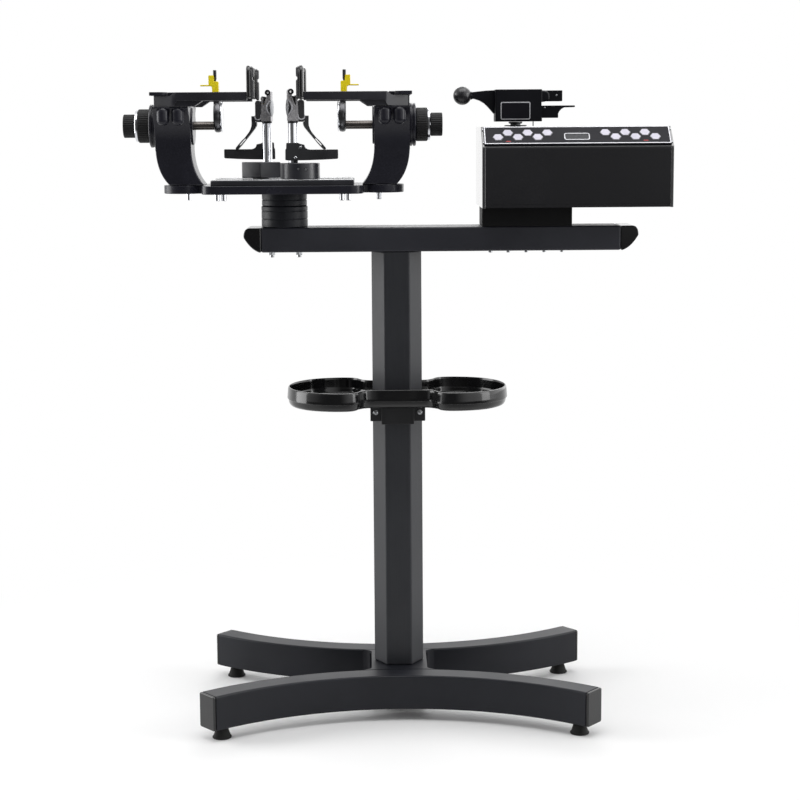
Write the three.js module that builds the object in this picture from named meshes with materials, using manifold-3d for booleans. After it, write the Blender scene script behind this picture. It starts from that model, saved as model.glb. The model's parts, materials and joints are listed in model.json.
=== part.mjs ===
// Racket stringing machine: a floor stand with a turntable that holds the racket,
// two string clamps on a rail, and a motor-driven tension head with its gripper.
// Millimetres, +Z up. The origin is on the floor below the column's axis, -Y is
// the front, and the tension head is on the +X side.

import * as THREE from 'three';
import { mergeVertices } from 'three/addons/utils/BufferGeometryUtils.js';
import Module from 'manifold-3d';

const wasm = await Module();
wasm.setup();

// Clearances that every piece shares.
const seatGap = 0.1;        // between still pieces that rest on each other
const runGap = 0.4;         // between pieces that move past each other
const overrun = 2;          // how far a cutting tool passes its face
const roundSides = 32;
const smallSides = 20;
const arcSteps = 12;

// Feet: rubber cones on a threaded stud.
const footHeight = 19.7;
const footBaseRadius = 16;
const footTopRadius = 9.5;
const footLip = 2.5;
const footStudRadius = 4;
const footStudLength = 12;

// Legs: two rectangular tubes bent to arcs that stand back to back.
const legHeight = 59.3;
const legWidth = 42;
const legWall = 2.5;
const legArcRadius = 510.5;
const legInnerFace = 59;    // from the column's axis to the face towards it
const legHalfAngle = THREE.MathUtils.degToRad(39);
const footEndInset = 23.27;
const footSpreadX = legArcRadius * Math.sin(legHalfAngle) - footEndInset;

// Hub: the open-bottomed block that ties the legs together.
const hubWidth = 96;
const hubFlare = 16;
const hubFlareDepth = 14;
const hubFlareDrop = 3;
const hubWall = 5;

// Column: hexagonal tube, one flat to the front.
const columnRadius = 43;
const columnWall = 2.5;
const columnLength = 716.5;

// Beam: rectangular tube across the column, with a bullnose cap at each end.
const beamHeight = 41;
const beamDepth = 78;
const beamWall = 2.5;
const beamLeft = -227;
const beamRight = 377;
const capLength = 29.5;
const capFoot = 3;
const capTopInset = 11;
const capNoseShare = 0.62;
const capBellyShare = 0.6;
const capBellyHeightShare = 0.12;
const capPlug = 14;

// Tool tray: two cups on a waist that the column passes through.
const trayBottom = 533.5;
const trayHeight = 31.5;
const trayWall = 3;
const trayHalfX = 188.5;
const trayHalfY = 104.5;
const trayCoreWall = 11;    // left solid beside the column
const trayCoreDrop = 12;    // how far its top lies below the rim
// a quarter of the tray's outline, from the middle of its front to the outer end
const trayOutlineShares = [
  [0, 0.615], [0.1, 0.615], [0.2, 0.615], [0.272, 0.64], [0.32, 0.745], [0.35, 0.87], [0.405, 0.965], [0.49, 1],
  [0.6, 0.985], [0.72, 0.915], [0.84, 0.765], [0.94, 0.505], [0.987, 0.24], [1, 0],
];
const trayOutlineSteps = 120;

// Collar that clamps the tray to the column.
const collarHeight = 24.5;
const collarHalfX = 46.6;
const collarHalfY = 45;
const collarFrontPad = 28;
const collarPadDepth = 4;
const collarPadDrop = 5;    // how far the pad hangs below the ring

// Turntable: spindle on the beam, hub, plate and rail.
const turntableX = -188.5;
const spindleRadius = 39;
const spindleHeight = 35.4;
const spindleBoreRadius = 16;
const spindleBoreDepth = 30;
const turnHubRadius = 38;
const turnHubHeight = 21.6;
const plateThickness = 14;
const plateHalfX = 134;
const plateHalfY = 84;
const plateCorner = 22;
const earCentre = 167;
const earRadius = 35;
const neckHalf = 24;
const railHalfX = 118;
const railHalfY = 75;
const railHeight = 9.7;
const railChannelHalfY = 25;
const railChannelDepth = 6;
const slotWidth = 10;
const slotDepth = 6;
const slotEnd = 5;
const trackY = 42;          // from the turntable's centre line to each clamp's track

// Towers: C-shaped castings on the ears of the plate.
const towerHalfY = 33;
const towerWidth = 59.5;
const towerOuter = 212;
const towerInner = towerOuter - towerWidth;
const towerFootOuterStep = 22.5;
const towerFootInnerStep = 21;
const towerFootOuter = towerOuter - towerFootOuterStep;
const towerFootInner = towerInner - towerFootInnerStep;
const towerBellyHeight = 66;
const towerBellyPullShare = 0.333;   // how high the belly's curve is drawn out
const towerFlareHeight = 62;
const towerFlareBendHeight = 100;
const towerShoulderHeight = 115;
const towerHeight = 129.5;
const towerFlareBendY = 37;
const towerTopHalfY = 74;
const towerCapInset = 0.5;
const towerCapWidth = 35;
const towerCapOuter = towerOuter - towerCapInset;
const towerCapInner = towerCapOuter - towerCapWidth;
const towerCapHalfY = 44;
const towerCapHeight = 24;
const towerPlateOverhang = 3;     // how far the top plates stand out past the tower
const towerPlateHalfY = 77;
const towerPlateRadius = 10;
const towerPlateThickness = 6;
const screwAxisHeight = 98.5;
const flangeRadius = 36;
const flangeThickness = 10.5;
const innerFlangeRadius = 32;
const innerFlangeThickness = 3;

// Side arms: a bar that swings on the tower's top, with an upright pad at its end.
const armPivotInset = 15.5;
const armPivotOut = towerOuter - armPivotInset;
const armPivotY = 63;
const armKnuckleRadius = 14.5;
const armPinRadius = 4.5;
const armPinLength = 12;
const armPinBoreRadius = 5;
const armInnerFaceY = 61;
const armWidth = 18;
const armKnuckleHeight = 17;
const armShoulderInset = 16;     // from the pivot to where the bar rises to its full height
const armSlantInset = 16.5;      // from the pivot to the slanted corner's inner end
const armSlantReach = 4;
const armSlantDepth = 13;
const leftArmInnerEnd = 55.5;
const rightArmInnerEnd = 37;
const armThickness = 14;
const armRootDepth = 9;
const armRootStep = -11;
const armRootEnd = towerInner + armRootStep;
const armRootTaper = 13.5;
const padThickness = 12;
const padWidth = 28;
const padHeight = 57;
const padLift = 3.5;     // from the bar's underside to the pad's lower edge
const padNotchRadius = 4;
const padNotchHeightShare = 0.61;

// Side knob: the fluted wheel that moves the two side arms of a tower.
const sideKnobRadius = 28;
const sideKnobWidth = 19.2;
const sideKnobBoreRadius = 8.5;
const knobRingRadius = 26;
const knobRingWidth = 4.4;
const knobGap = 0.8;

// Head knob: the outer wheel, on the screw that moves the head support.
const headKnobRadius = 19.5;
const headKnobWidth = 20;
const headScrewRadius = 4;
const headScrewLength = 74;

// Head support: rod through the tower, rounded plate and plastic frame rest.
const rodRadius = 7;
const rodBoreRadius = 4.6;
const rodBoreLength = 74;
const rodLength = 94;
const leftSupportGap = 37;     // from the tower to the plate, at rest
const rightSupportGap = 47;
const supportThickness = 15;
const supportRimRadius = 26;
const supportRimWidth = 5;
const supportDrop = 26;     // how far the disc's centre is below the arms' underside
const supportStemHalf = 12;
const supportTop = 0.6;     // how far the stem stands above the arms
const restWidth = 16.5;
const restHalfY = 9;
const restHeight = 28;
const restOffset = 8;
const restTabLength = 14;
const restTabHeight = 3;
const restTabLevel = 10;
const restScrewRadius = 3;
const restScrewHeight = 9;
const restScrewShare = 0.62;   // of the rest's width, from its outer face

// String clamps: base that slides on the rail, lock lever, post with the jaw head,
// and the jaw's handle. Heights are above the rail, places are from the post's axis.
const frontClampX = 17.6;   // post's place from the turntable's centre
const rearClampX = -29.5;
const clampHeadTurn = THREE.MathUtils.degToRad(9.5);
const potRadius = 33;
const potHeight = 26.6;
const potOffset = 11.2;
const potApexShare = 0.86;
const potKeyRadius = 4.5;
const postRadius = 8;
const postSocketDepth = 20;
const leverPivotHeight = 35.5;
const lockPivotX = 4.5;
const leverYokeLeft = 12.5;
const leverYokeTop = 22.5;
const leverYokeMiddle = 10;
const leverBossReach = 18.5;
const leverBossTop = 19;
const leverBossDrop = 4;
const leverNeckReach = 26;
const leverNeckTop = 12.5;
const leverNeckDrop = 3.8;
const leverLength = 75;
const leverTipTop = 13;
const leverTipDrop = 2.5;
const leverYokeThickness = 5;
const leverPinRadius = 2.5;
const leverPinBoreRadius = 2.9;
const lugHalf = 5.5;
const lugThickness = 5;
const leverBladeWidth = 13;
const jawBottom = 95.3;
const jawHalfX = 8.5;
const jawHalfY = 8;
const jawShoulder = 36;
const jawHeight = 53;
const jawTipRadius = 5;
const jawTipX = -3.5;
const jawEyeRadius = 2;
const cheekThickness = 10.5;
const cheekBottom = 2.5;
const cheekHeight = 33;
const cheekRadius = 5;
const dialRadius = 15;
const dialThickness = 2.4;
const dialHeight = 22.5;
const handlePivotX = 23.2;
const handlePivotHeight = 6.5;
const handleKnuckleRadius = 3.7;
const handleHalfY = 3.5;
const handleTipX = 52;
const handleTipDrop = 53;
const handleTipWidth = 3;
const handleBendShares = [0.1, 0.34];   // where the bend lies, across and down
const handleMidShares = [0.44, 0.68];
const handleMidWidth = 4;
const handleRootWidth = 7;
const handleWebWidth = 6.5;
const handleWebShares = [0.17, 0.25];   // from where to where down the handle the web runs

// Tension head: pedestal, sheet-metal housing, control panel, motor and guide.
const pedestalLeft = 143.5;
const pedestalLength = 151;
const pedestalHalfY = 39;
const pedestalHeight = 32.3;
const pedestalWall = 6;
const housingLeft = 140.5;
const housingLength = 315.3;
const housingFront = -92;
const housingBack = 88;
const housingHeight = 133;
const housingWall = 3;
const panelFrontHeight = 100;
const panelTopY = -52;
const panelMargin = 3.5;
const panelThickness = 3;
const keyPitchShare = 0.0518;        // of the housing's length
const keyWidthShare = 1.159;         // of the pitch, across the corners
const keyRowShare = 0.335;           // of the pitch, from the panel's middle
const keyPitch = housingLength * keyPitchShare;
const keyWidth = keyPitch * keyWidthShare;
const keyRowOffset = keyPitch * keyRowShare;
const keyHeight = 2.6;
const keyClearance = 0.3;
const keyFloor = 1.5;
const keyRowLength = 6;
const leftKeysShare = 0.0853;
const rightKeysShare = 0.648;
const leftKeysX = housingLeft + housingLength * leftKeysShare;
const rightKeysX = housingLeft + housingLength * rightKeysShare;
const displayShare = 0.4976;
const displayWidthShare = 0.1264;
const displayX = housingLeft + housingLength * displayShare;
const displayWidth = housingLength * displayWidthShare;
const displayHeight = 15;
const displayDrop = 4;
const displayDepth = 1;
const gripperX = 202;       // the carriage's rest place
const gripperEndGap = 103.5;  // from the carriage at the end of its travel to the housing's end
const gripperTravel = housingLeft + housingLength - gripperEndGap - gripperX;
const neckHalfX = 12;
const neckHalfY = 9;
const neckHeight = 8;
const neckFlangeHalfX = 18;
const neckFlangeHalfY = 15;
const neckFlangeHeight = 2.4;
const shoeHalfX = 30;
const shoeHalfY = 20;
const shoeHeight = 22;
const guideHalf = 6;
const guideDepth = 12;
const motorRadius = 31;
const motorLength = 96;
const motorEndGap = 37;
const motorFootHeight = 5;
const motorFootHalfY = 26;
const motorFlangeRadius = 36;
const motorFlangeLength = 8;
const motorShaftRadius = 6;
const motorShaftLength = 22;

// Gripper: body on the carriage, ball lever and lower jaw.
const gripperLeft = 35.5;
const gripperRight = 43;
const gripperBottom = 8.3;
const gripperHeight = 53.2;
const gripperHalfY = 21;
const upperJawReach = 34.5;
const upperJawBottom = 41.5;
const upperJawTop = 59.5;
const upperJawHalfY = 14;
const jawRecess = 10;
const jawWindowHalfY = 11.5;
const lowerJawReach = 28;
const lowerJawTongue = 56;
const lowerJawLow = 14;
const lowerJawHigh = 34.5;
const lowerJawHalfY = 11;
const tongueThickness = 3;
const jawTravel = 6;
const leverSlotDepth = 28;
const leverSlotFloor = 1.6;
const leverHalfY = 6;
const gripperPinRadius = 3;
const gripperPinBoreRadius = 3.4;
const leverPivotX = -20;    // from the carriage's centre
const leverPivotZ = 43;
const leverKnuckleRadius = 12;
const leverRootHigh = 60.5;
const leverRootLow = 20.8;
const leverCurveX = -42;
const ballRadius = 15.5;
const ballX = -89.4;
const ballZ = 51.8;
const ballNeckHalf = 4.5;

const satinBlack = { color: 0x1c1e22, roughness: 0.5, metalness: 0.4 };
const glossBlack = { color: 0x0b0b0d, roughness: 0.18, metalness: 0.1 };
const mattBlack = { color: 0x121214, roughness: 0.75, metalness: 0.1 };
const rubberBlack = { color: 0x0d0d0d, roughness: 0.9, metalness: 0 };
const brightSteel = { color: 0xc8cacf, roughness: 0.2, metalness: 1 };
const castSilver = { color: 0x8f9196, roughness: 0.45, metalness: 0.9 };
const yellowPlastic = { color: 0xf2d21b, roughness: 0.45, metalness: 0 };
const whitePlastic = { color: 0xe9e9ee, roughness: 0.4, metalness: 0 };

function piece(name, geometry, look, place = [0, 0, 0]) {
  const mesh = new THREE.Mesh(geometry, new THREE.MeshStandardMaterial(look));
  mesh.name = name;
  mesh.position.set(...place);
  return mesh;
}

// Closed solids from three.js geometry, and back again.

function toSolid(geometry) {
  let plain = geometry.clone();
  plain.deleteAttribute('normal');
  plain.deleteAttribute('uv');
  plain = mergeVertices(plain);
  const corners = plain.index.array;
  const triangles = [];
  for (let i = 0; i < corners.length; i += 3) {
    const [a, b, c] = corners.slice(i, i + 3);
    if (a !== b && b !== c && c !== a) triangles.push(a, b, c);
  }
  return new wasm.Manifold(new wasm.Mesh({
    numProp: 3,
    vertProperties: new Float32Array(plain.attributes.position.array),
    triVerts: new Uint32Array(triangles),
  }));
}

function toGeometry(solid) {
  const mesh = solid.getMesh();
  const geometry = new THREE.BufferGeometry();
  geometry.setAttribute('position', new THREE.BufferAttribute(mesh.vertProperties, 3));
  geometry.setIndex(new THREE.BufferAttribute(mesh.triVerts, 1));
  geometry.computeVertexNormals();
  return geometry;
}

function join(...geometries) {
  return toGeometry(geometries.map(toSolid).reduce((all, next) => all.add(next)));
}

function cut(geometry, ...tools) {
  const solid = tools.map(toSolid).reduce((left, tool) => left.subtract(tool), toSolid(geometry));
  return toGeometry(solid);
}

// A box from its low and high corners.
function block([x0, y0, z0], [x1, y1, z1]) {
  const box = new THREE.BoxGeometry(x1 - x0, y1 - y0, z1 - z0);
  return box.translate((x0 + x1) / 2, (y0 + y1) / 2, (z0 + z1) / 2);
}

// A cylinder between two levels on the Z axis.
function discZ(radius, z0, z1, sides = roundSides) {
  const disc = new THREE.CylinderGeometry(radius, radius, z1 - z0, sides);
  return disc.rotateX(Math.PI / 2).translate(0, 0, (z0 + z1) / 2);
}

// A cylinder between two places on the X axis.
function discX(radius, x0, x1, sides = roundSides) {
  const disc = new THREE.CylinderGeometry(radius, radius, x1 - x0, sides);
  return disc.rotateZ(-Math.PI / 2).translate((x0 + x1) / 2, 0, 0);
}

// A cylinder between two places on the Y axis.
function discY(radius, y0, y1, sides = roundSides) {
  return new THREE.CylinderGeometry(radius, radius, y1 - y0, sides).translate(0, (y0 + y1) / 2, 0);
}

// An outline in the XY plane, raised from z0 to z1.
function raise(outline, z0, z1, curveSegments = arcSteps) {
  const options = { depth: z1 - z0, bevelEnabled: false, curveSegments };
  return new THREE.ExtrudeGeometry(outline, options).translate(0, 0, z0);
}

// An outline of x and z, carried along Y from y0 to y1.
function alongY(outline, y0, y1, curveSegments = arcSteps) {
  const options = { depth: y1 - y0, bevelEnabled: false, curveSegments };
  return new THREE.ExtrudeGeometry(outline, options).rotateX(Math.PI / 2).translate(0, y1, 0);
}

// An outline of y and z, carried along X from x0 to x1.
function alongX(outline, x0, x1, curveSegments = arcSteps) {
  const options = { depth: x1 - x0, bevelEnabled: false, curveSegments };
  const solid = new THREE.ExtrudeGeometry(outline, options);
  return solid.rotateX(Math.PI / 2).rotateZ(Math.PI / 2).translate(x0, 0, 0);
}

function polygon(points) {
  return new THREE.Shape(points.map(([x, y]) => new THREE.Vector2(x, y)));
}

function roundedRectangle(halfX, halfY, corner) {
  const shape = new THREE.Shape();
  shape.absarc(halfX - corner, halfY - corner, corner, 0, Math.PI / 2);
  shape.absarc(corner - halfX, halfY - corner, corner, Math.PI / 2, Math.PI);
  shape.absarc(corner - halfX, corner - halfY, corner, Math.PI, Math.PI * 3 / 2);
  shape.absarc(halfX - corner, corner - halfY, corner, Math.PI * 3 / 2, Math.PI * 2);
  return shape;
}

function hexagon(radius) {
  const corners = Array.from({ length: 6 }, (_, i) => i * Math.PI / 3);
  return corners.map((angle) => [radius * Math.cos(angle), radius * Math.sin(angle)]);
}

// Levels and places that follow from the sizes above.
const legBottom = footHeight + seatGap;
const legTop = legBottom + legHeight;
const columnBottom = legTop + seatGap;
const columnTop = columnBottom + columnLength;
const beamBottom = columnTop + seatGap;
const beamTop = beamBottom + beamHeight;
const spindleBottom = beamTop + seatGap;
const turnHubBottom = spindleBottom + spindleHeight + runGap;
const plateBottom = turnHubBottom + turnHubHeight + seatGap;
const plateTop = plateBottom + plateThickness;
const railBottom = plateTop + seatGap;
const railTop = railBottom + railHeight;
const towerBottom = plateTop + seatGap;
const screwAxis = towerBottom + screwAxisHeight;
const housingBottom = beamTop + seatGap + pedestalHeight + seatGap;
const housingTop = housingBottom + housingHeight;

function makeFoot(name, x, y) {
  const profile = [
    [0, 0], [footBaseRadius, 0], [footBaseRadius, footLip], [footTopRadius, footHeight],
    [footStudRadius, footHeight], [footStudRadius, footHeight + footStudLength],
    [0, footHeight + footStudLength],
  ];
  const points = profile.map(([r, z]) => new THREE.Vector2(r, z));
  const geometry = new THREE.LatheGeometry(points, smallSides).rotateX(Math.PI / 2);
  return piece(name, geometry, rubberBlack, [x, y, 0]);
}

// The legs' arcs are centred in front of the machine and behind it.
const legCentreY = legInnerFace + legArcRadius + legWidth / 2;
const footAngle = Math.asin(footSpreadX / legArcRadius);
const footY = legCentreY - legArcRadius * Math.cos(footAngle);

// A slice of a ring about the origin, its middle on +Y.
function ringSlice(inner, outer, halfAngle) {
  const shape = new THREE.Shape();
  shape.absarc(0, 0, outer, Math.PI / 2 - halfAngle, Math.PI / 2 + halfAngle, false);
  shape.absarc(0, 0, inner, Math.PI / 2 + halfAngle, Math.PI / 2 - halfAngle, true);
  return shape;
}

function makeLeg(name, side) {
  const inner = legArcRadius - legWidth / 2;
  const outer = legArcRadius + legWidth / 2;
  const wallAngle = legWall / legArcRadius;
  const tube = raise(ringSlice(inner, outer, legHalfAngle), 0, legHeight);
  const core = raise(
    ringSlice(inner + legWall, outer - legWall, legHalfAngle - wallAngle),
    legWall, legHeight - legWall,
  );
  const holes = [-1, 1].map((end) => discZ(footStudRadius + runGap, -overrun, legWall + overrun, smallSides)
    .translate(end * footSpreadX, legArcRadius * Math.cos(footAngle), 0));
  const mesh = piece(name, cut(tube, core, ...holes), satinBlack, [0, side * legCentreY, legBottom]);
  mesh.rotation.z = side < 0 ? 0 : Math.PI;
  return mesh;
}

function hubOutline(width, reach) {
  const outer = legArcRadius + legWidth / 2 + seatGap;
  const edgeY = (x) => legCentreY - Math.sqrt(outer ** 2 - x ** 2);
  const wide = width / 2 + hubFlare;
  const narrow = width / 2;
  const shape = new THREE.Shape();
  const flareY = edgeY(wide) - reach;
  const bendY = edgeY(narrow) - reach - hubFlareDrop;
  shape.moveTo(wide, -flareY);
  shape.quadraticCurveTo(narrow, -bendY, narrow, -flareY + hubFlareDepth);
  shape.lineTo(narrow, flareY - hubFlareDepth);
  shape.quadraticCurveTo(narrow, bendY, wide, flareY);
  const halfAngle = Math.asin(wide / outer);
  shape.absarc(0, legCentreY - reach, outer, -Math.PI / 2 + halfAngle, -Math.PI / 2 - halfAngle, true);
  shape.quadraticCurveTo(-narrow, bendY, -narrow, flareY - hubFlareDepth);
  shape.lineTo(-narrow, -flareY + hubFlareDepth);
  shape.quadraticCurveTo(-narrow, -bendY, -wide, -flareY);
  shape.absarc(0, reach - legCentreY, outer, Math.PI / 2 + halfAngle, Math.PI / 2 - halfAngle, true);
  return shape;
}

function makeHub() {
  const solid = raise(hubOutline(hubWidth, 0), 0, legHeight);
  const inside = raise(
    hubOutline(hubWidth - 2 * hubWall, hubWall), -overrun, legHeight - hubWall,
  );
  return piece('base_hub', cut(solid, inside), satinBlack, [0, 0, legBottom]);
}

function makeColumn() {
  const outline = polygon(hexagon(columnRadius));
  const insideRadius = columnRadius - columnWall / Math.cos(Math.PI / 6);
  outline.holes.push(polygon(hexagon(insideRadius)));
  return piece('column', raise(outline, 0, columnLength), satinBlack, [0, 0, columnBottom]);
}

function makeBeam() {
  const half = beamDepth / 2;
  const outline = polygon([[-half, 0], [half, 0], [half, beamHeight], [-half, beamHeight]]);
  const inHalf = half - beamWall;
  const inTop = beamHeight - beamWall;
  outline.holes.push(polygon([[-inHalf, beamWall], [inHalf, beamWall], [inHalf, inTop], [-inHalf, inTop]]));
  return piece('beam', alongX(outline, beamLeft, beamRight), satinBlack, [0, 0, beamBottom]);
}

// The cap is drawn for the right end and turned about for the left one.
function makeBeamCap(name, side) {
  const outline = new THREE.Shape();
  outline.moveTo(0, 0);
  outline.lineTo(capFoot, 0);
  outline.quadraticCurveTo(
    capLength * capBellyShare, beamHeight * capBellyHeightShare,
    capLength, beamHeight * capNoseShare,
  );
  outline.quadraticCurveTo(capLength, beamHeight, capLength - capTopInset, beamHeight);
  outline.lineTo(0, beamHeight);
  const nose = alongY(outline, -beamDepth / 2, beamDepth / 2);
  const fit = beamWall + runGap;
  const plug = block(
    [-capPlug, fit - beamDepth / 2, fit], [overrun, beamDepth / 2 - fit, beamHeight - fit],
  );
  const x = side > 0 ? beamRight + seatGap : beamLeft - seatGap;
  const mesh = piece(name, join(nose, plug), glossBlack, [x, 0, beamBottom]);
  mesh.rotation.z = side > 0 ? 0 : Math.PI;
  return mesh;
}

// The tray's whole outline, set in all round, as points on a smooth closed curve.
function trayOutline(inset) {
  const front = trayOutlineShares.map(([x, y]) => new THREE.Vector3(x * trayHalfX, -y * trayHalfY, 0));
  const back = front.slice(0, -1).reverse().map(({ x, y }) => new THREE.Vector3(x, -y, 0));
  const right = [...front, ...back];
  const left = right.slice(1, -1).map(({ x, y }) => new THREE.Vector3(-x, -y, 0));
  const curve = new THREE.CatmullRomCurve3([...right, ...left], true, 'centripetal');
  const points = curve.getPoints(trayOutlineSteps).slice(0, -1);
  return points.map((point, i) => {
    const next = points[(i + 1) % points.length];
    const last = points.at(i - 1);
    const along = next.clone().sub(last).normalize();
    return [point.x - along.y * inset, point.y + along.x * inset];
  });
}

function makeTray() {
  const whole = raise(polygon(trayOutline(0)), 0, trayHeight);
  const coreX = columnRadius + trayCoreWall;
  const core = block([-coreX, -trayHalfY, 0], [coreX, trayHalfY, trayHeight - trayCoreDrop]);
  const hollow = cut(raise(polygon(trayOutline(trayWall)), trayWall, trayHeight + overrun), core);
  const columnHole = raise(polygon(hexagon(columnRadius + runGap)), -overrun, trayHeight + overrun);
  return piece('tool_tray', cut(whole, hollow, columnHole), glossBlack, [0, 0, trayBottom]);
}

function makeCollar() {
  const ring = block([-collarHalfX, -collarHalfY, 0], [collarHalfX, collarHalfY, collarHeight]);
  const pad = block(
    [-collarFrontPad, -collarHalfY - collarPadDepth, -collarPadDrop],
    [collarFrontPad, overrun - collarHalfY, collarHeight],
  );
  const hole = raise(polygon(hexagon(columnRadius + runGap)), -overrun, collarHeight + overrun);
  const z = trayBottom - seatGap - collarHeight;
  return piece('tray_collar', cut(join(ring, pad), hole), glossBlack, [0, 0, z]);
}

function makeSpindle() {
  const base = discZ(spindleRadius, 0, spindleHeight);
  const bore = discZ(spindleBoreRadius, spindleHeight - spindleBoreDepth, spindleHeight + overrun);
  return piece('spindle_base', cut(base, bore), satinBlack, [turntableX, 0, spindleBottom]);
}

// From here to the clamps, x is measured from the turntable's centre.

function makeTurnHub() {
  const disc = discZ(turnHubRadius, 0, turnHubHeight);
  const shaftRadius = spindleBoreRadius - runGap;
  const shaft = discZ(shaftRadius, overrun - spindleBoreDepth, overrun);
  return piece('turntable_hub', join(disc, shaft), satinBlack, [0, 0, turnHubBottom]);
}

function makePlate() {
  const middle = raise(roundedRectangle(plateHalfX, plateHalfY, plateCorner), 0, plateThickness);
  const ears = [-1, 1].map((side) => discZ(earRadius, 0, plateThickness).translate(side * earCentre, 0, 0));
  const neck = block([-earCentre, -neckHalf, 0], [earCentre, neckHalf, plateThickness]);
  return piece('turntable_plate', join(middle, neck, ...ears), glossBlack, [0, 0, plateBottom]);
}

function makeRail() {
  const bar = block([-railHalfX, -railHalfY, 0], [railHalfX, railHalfY, railHeight]);
  const channel = block(
    [-railHalfX - overrun, -railChannelHalfY, railHeight - railChannelDepth],
    [railHalfX + overrun, railChannelHalfY, railHeight + overrun],
  );
  const reach = railHalfX - slotEnd;
  const slots = [-trackY, trackY].map((y) => block(
    [-reach, y - slotWidth / 2, railHeight - slotDepth], [reach, y + slotWidth / 2, railHeight + overrun],
  ));
  return piece('clamp_rail', cut(bar, channel, ...slots), brightSteel, [0, 0, railBottom]);
}

// Towers and what they carry are drawn for the left end, with x growing towards the
// turntable's centre, and turned half round for the right end.

function makeTower(name) {
  const stem = new THREE.Shape();
  stem.moveTo(-towerFootOuter, 0);
  stem.lineTo(-towerFootInner, 0);
  const pull = towerBellyHeight * towerBellyPullShare;
  stem.quadraticCurveTo(-towerInner, pull, -towerInner, towerBellyHeight);
  stem.lineTo(-towerInner, towerHeight);
  stem.lineTo(-towerOuter, towerHeight);
  stem.lineTo(-towerOuter, towerBellyHeight);
  stem.quadraticCurveTo(-towerOuter, pull, -towerFootOuter, 0);
  const body = alongY(stem, -towerHalfY, towerHalfY);
  const flareOutline = new THREE.Shape();
  flareOutline.moveTo(-towerHalfY, towerFlareHeight);
  flareOutline.lineTo(towerHalfY, towerFlareHeight);
  flareOutline.quadraticCurveTo(towerFlareBendY, towerFlareBendHeight, towerTopHalfY, towerShoulderHeight);
  flareOutline.lineTo(towerTopHalfY, towerHeight);
  flareOutline.lineTo(-towerTopHalfY, towerHeight);
  flareOutline.lineTo(-towerTopHalfY, towerShoulderHeight);
  flareOutline.quadraticCurveTo(-towerFlareBendY, towerFlareBendHeight, -towerHalfY, towerFlareHeight);
  const flare = alongX(flareOutline, -towerOuter, -towerInner);
  const cap = block(
    [-towerCapOuter, -towerCapHalfY, towerHeight - overrun],
    [-towerCapInner, towerCapHalfY, towerHeight + towerCapHeight],
  );
  // thin plates that reach out from the cap over the arms' knuckles
  const plateTopZ = towerHeight + towerCapHeight;
  const plateLowZ = plateTopZ - towerPlateThickness;
  const plates = [-1, 1].flatMap((side) => [
    discZ(towerPlateRadius, plateLowZ, plateTopZ, smallSides).translate(-armPivotOut, side * armPivotY, 0),
    block(
      [-armPivotOut - overrun, side < 0 ? -armPivotY : towerCapHalfY - overrun, plateLowZ],
      [towerPlateRadius - armPivotOut, side < 0 ? overrun - towerCapHalfY : armPivotY, plateTopZ],
    ),
    block(
      [-towerOuter - towerPlateOverhang, side < 0 ? -towerPlateHalfY : towerCapHalfY - overrun, plateLowZ],
      [-armPivotOut, side < 0 ? overrun - towerCapHalfY : towerPlateHalfY, plateTopZ],
    ),
  ]);
  const outerFlange = discX(flangeRadius, -towerOuter - flangeThickness, overrun - towerOuter)
    .translate(0, 0, screwAxisHeight);
  const innerFlange = discX(innerFlangeRadius, -towerInner - overrun, innerFlangeThickness - towerInner)
    .translate(0, 0, screwAxisHeight);
  const bore = discX(
    rodRadius + runGap, -towerOuter - flangeThickness - overrun, innerFlangeThickness + overrun - towerInner,
  )
    .translate(0, 0, screwAxisHeight);
  const pinBores = [-1, 1].map((side) => discZ(
    armPinBoreRadius, towerHeight - armPinLength - runGap, towerHeight + overrun, smallSides,
  ).translate(-armPivotOut, side * armPivotY, 0));
  const solid = join(body, flare, cap, ...plates, outerFlange, innerFlange);
  return piece(name, cut(solid, bore, ...pinBores), glossBlack, [0, 0, towerBottom]);
}

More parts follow.
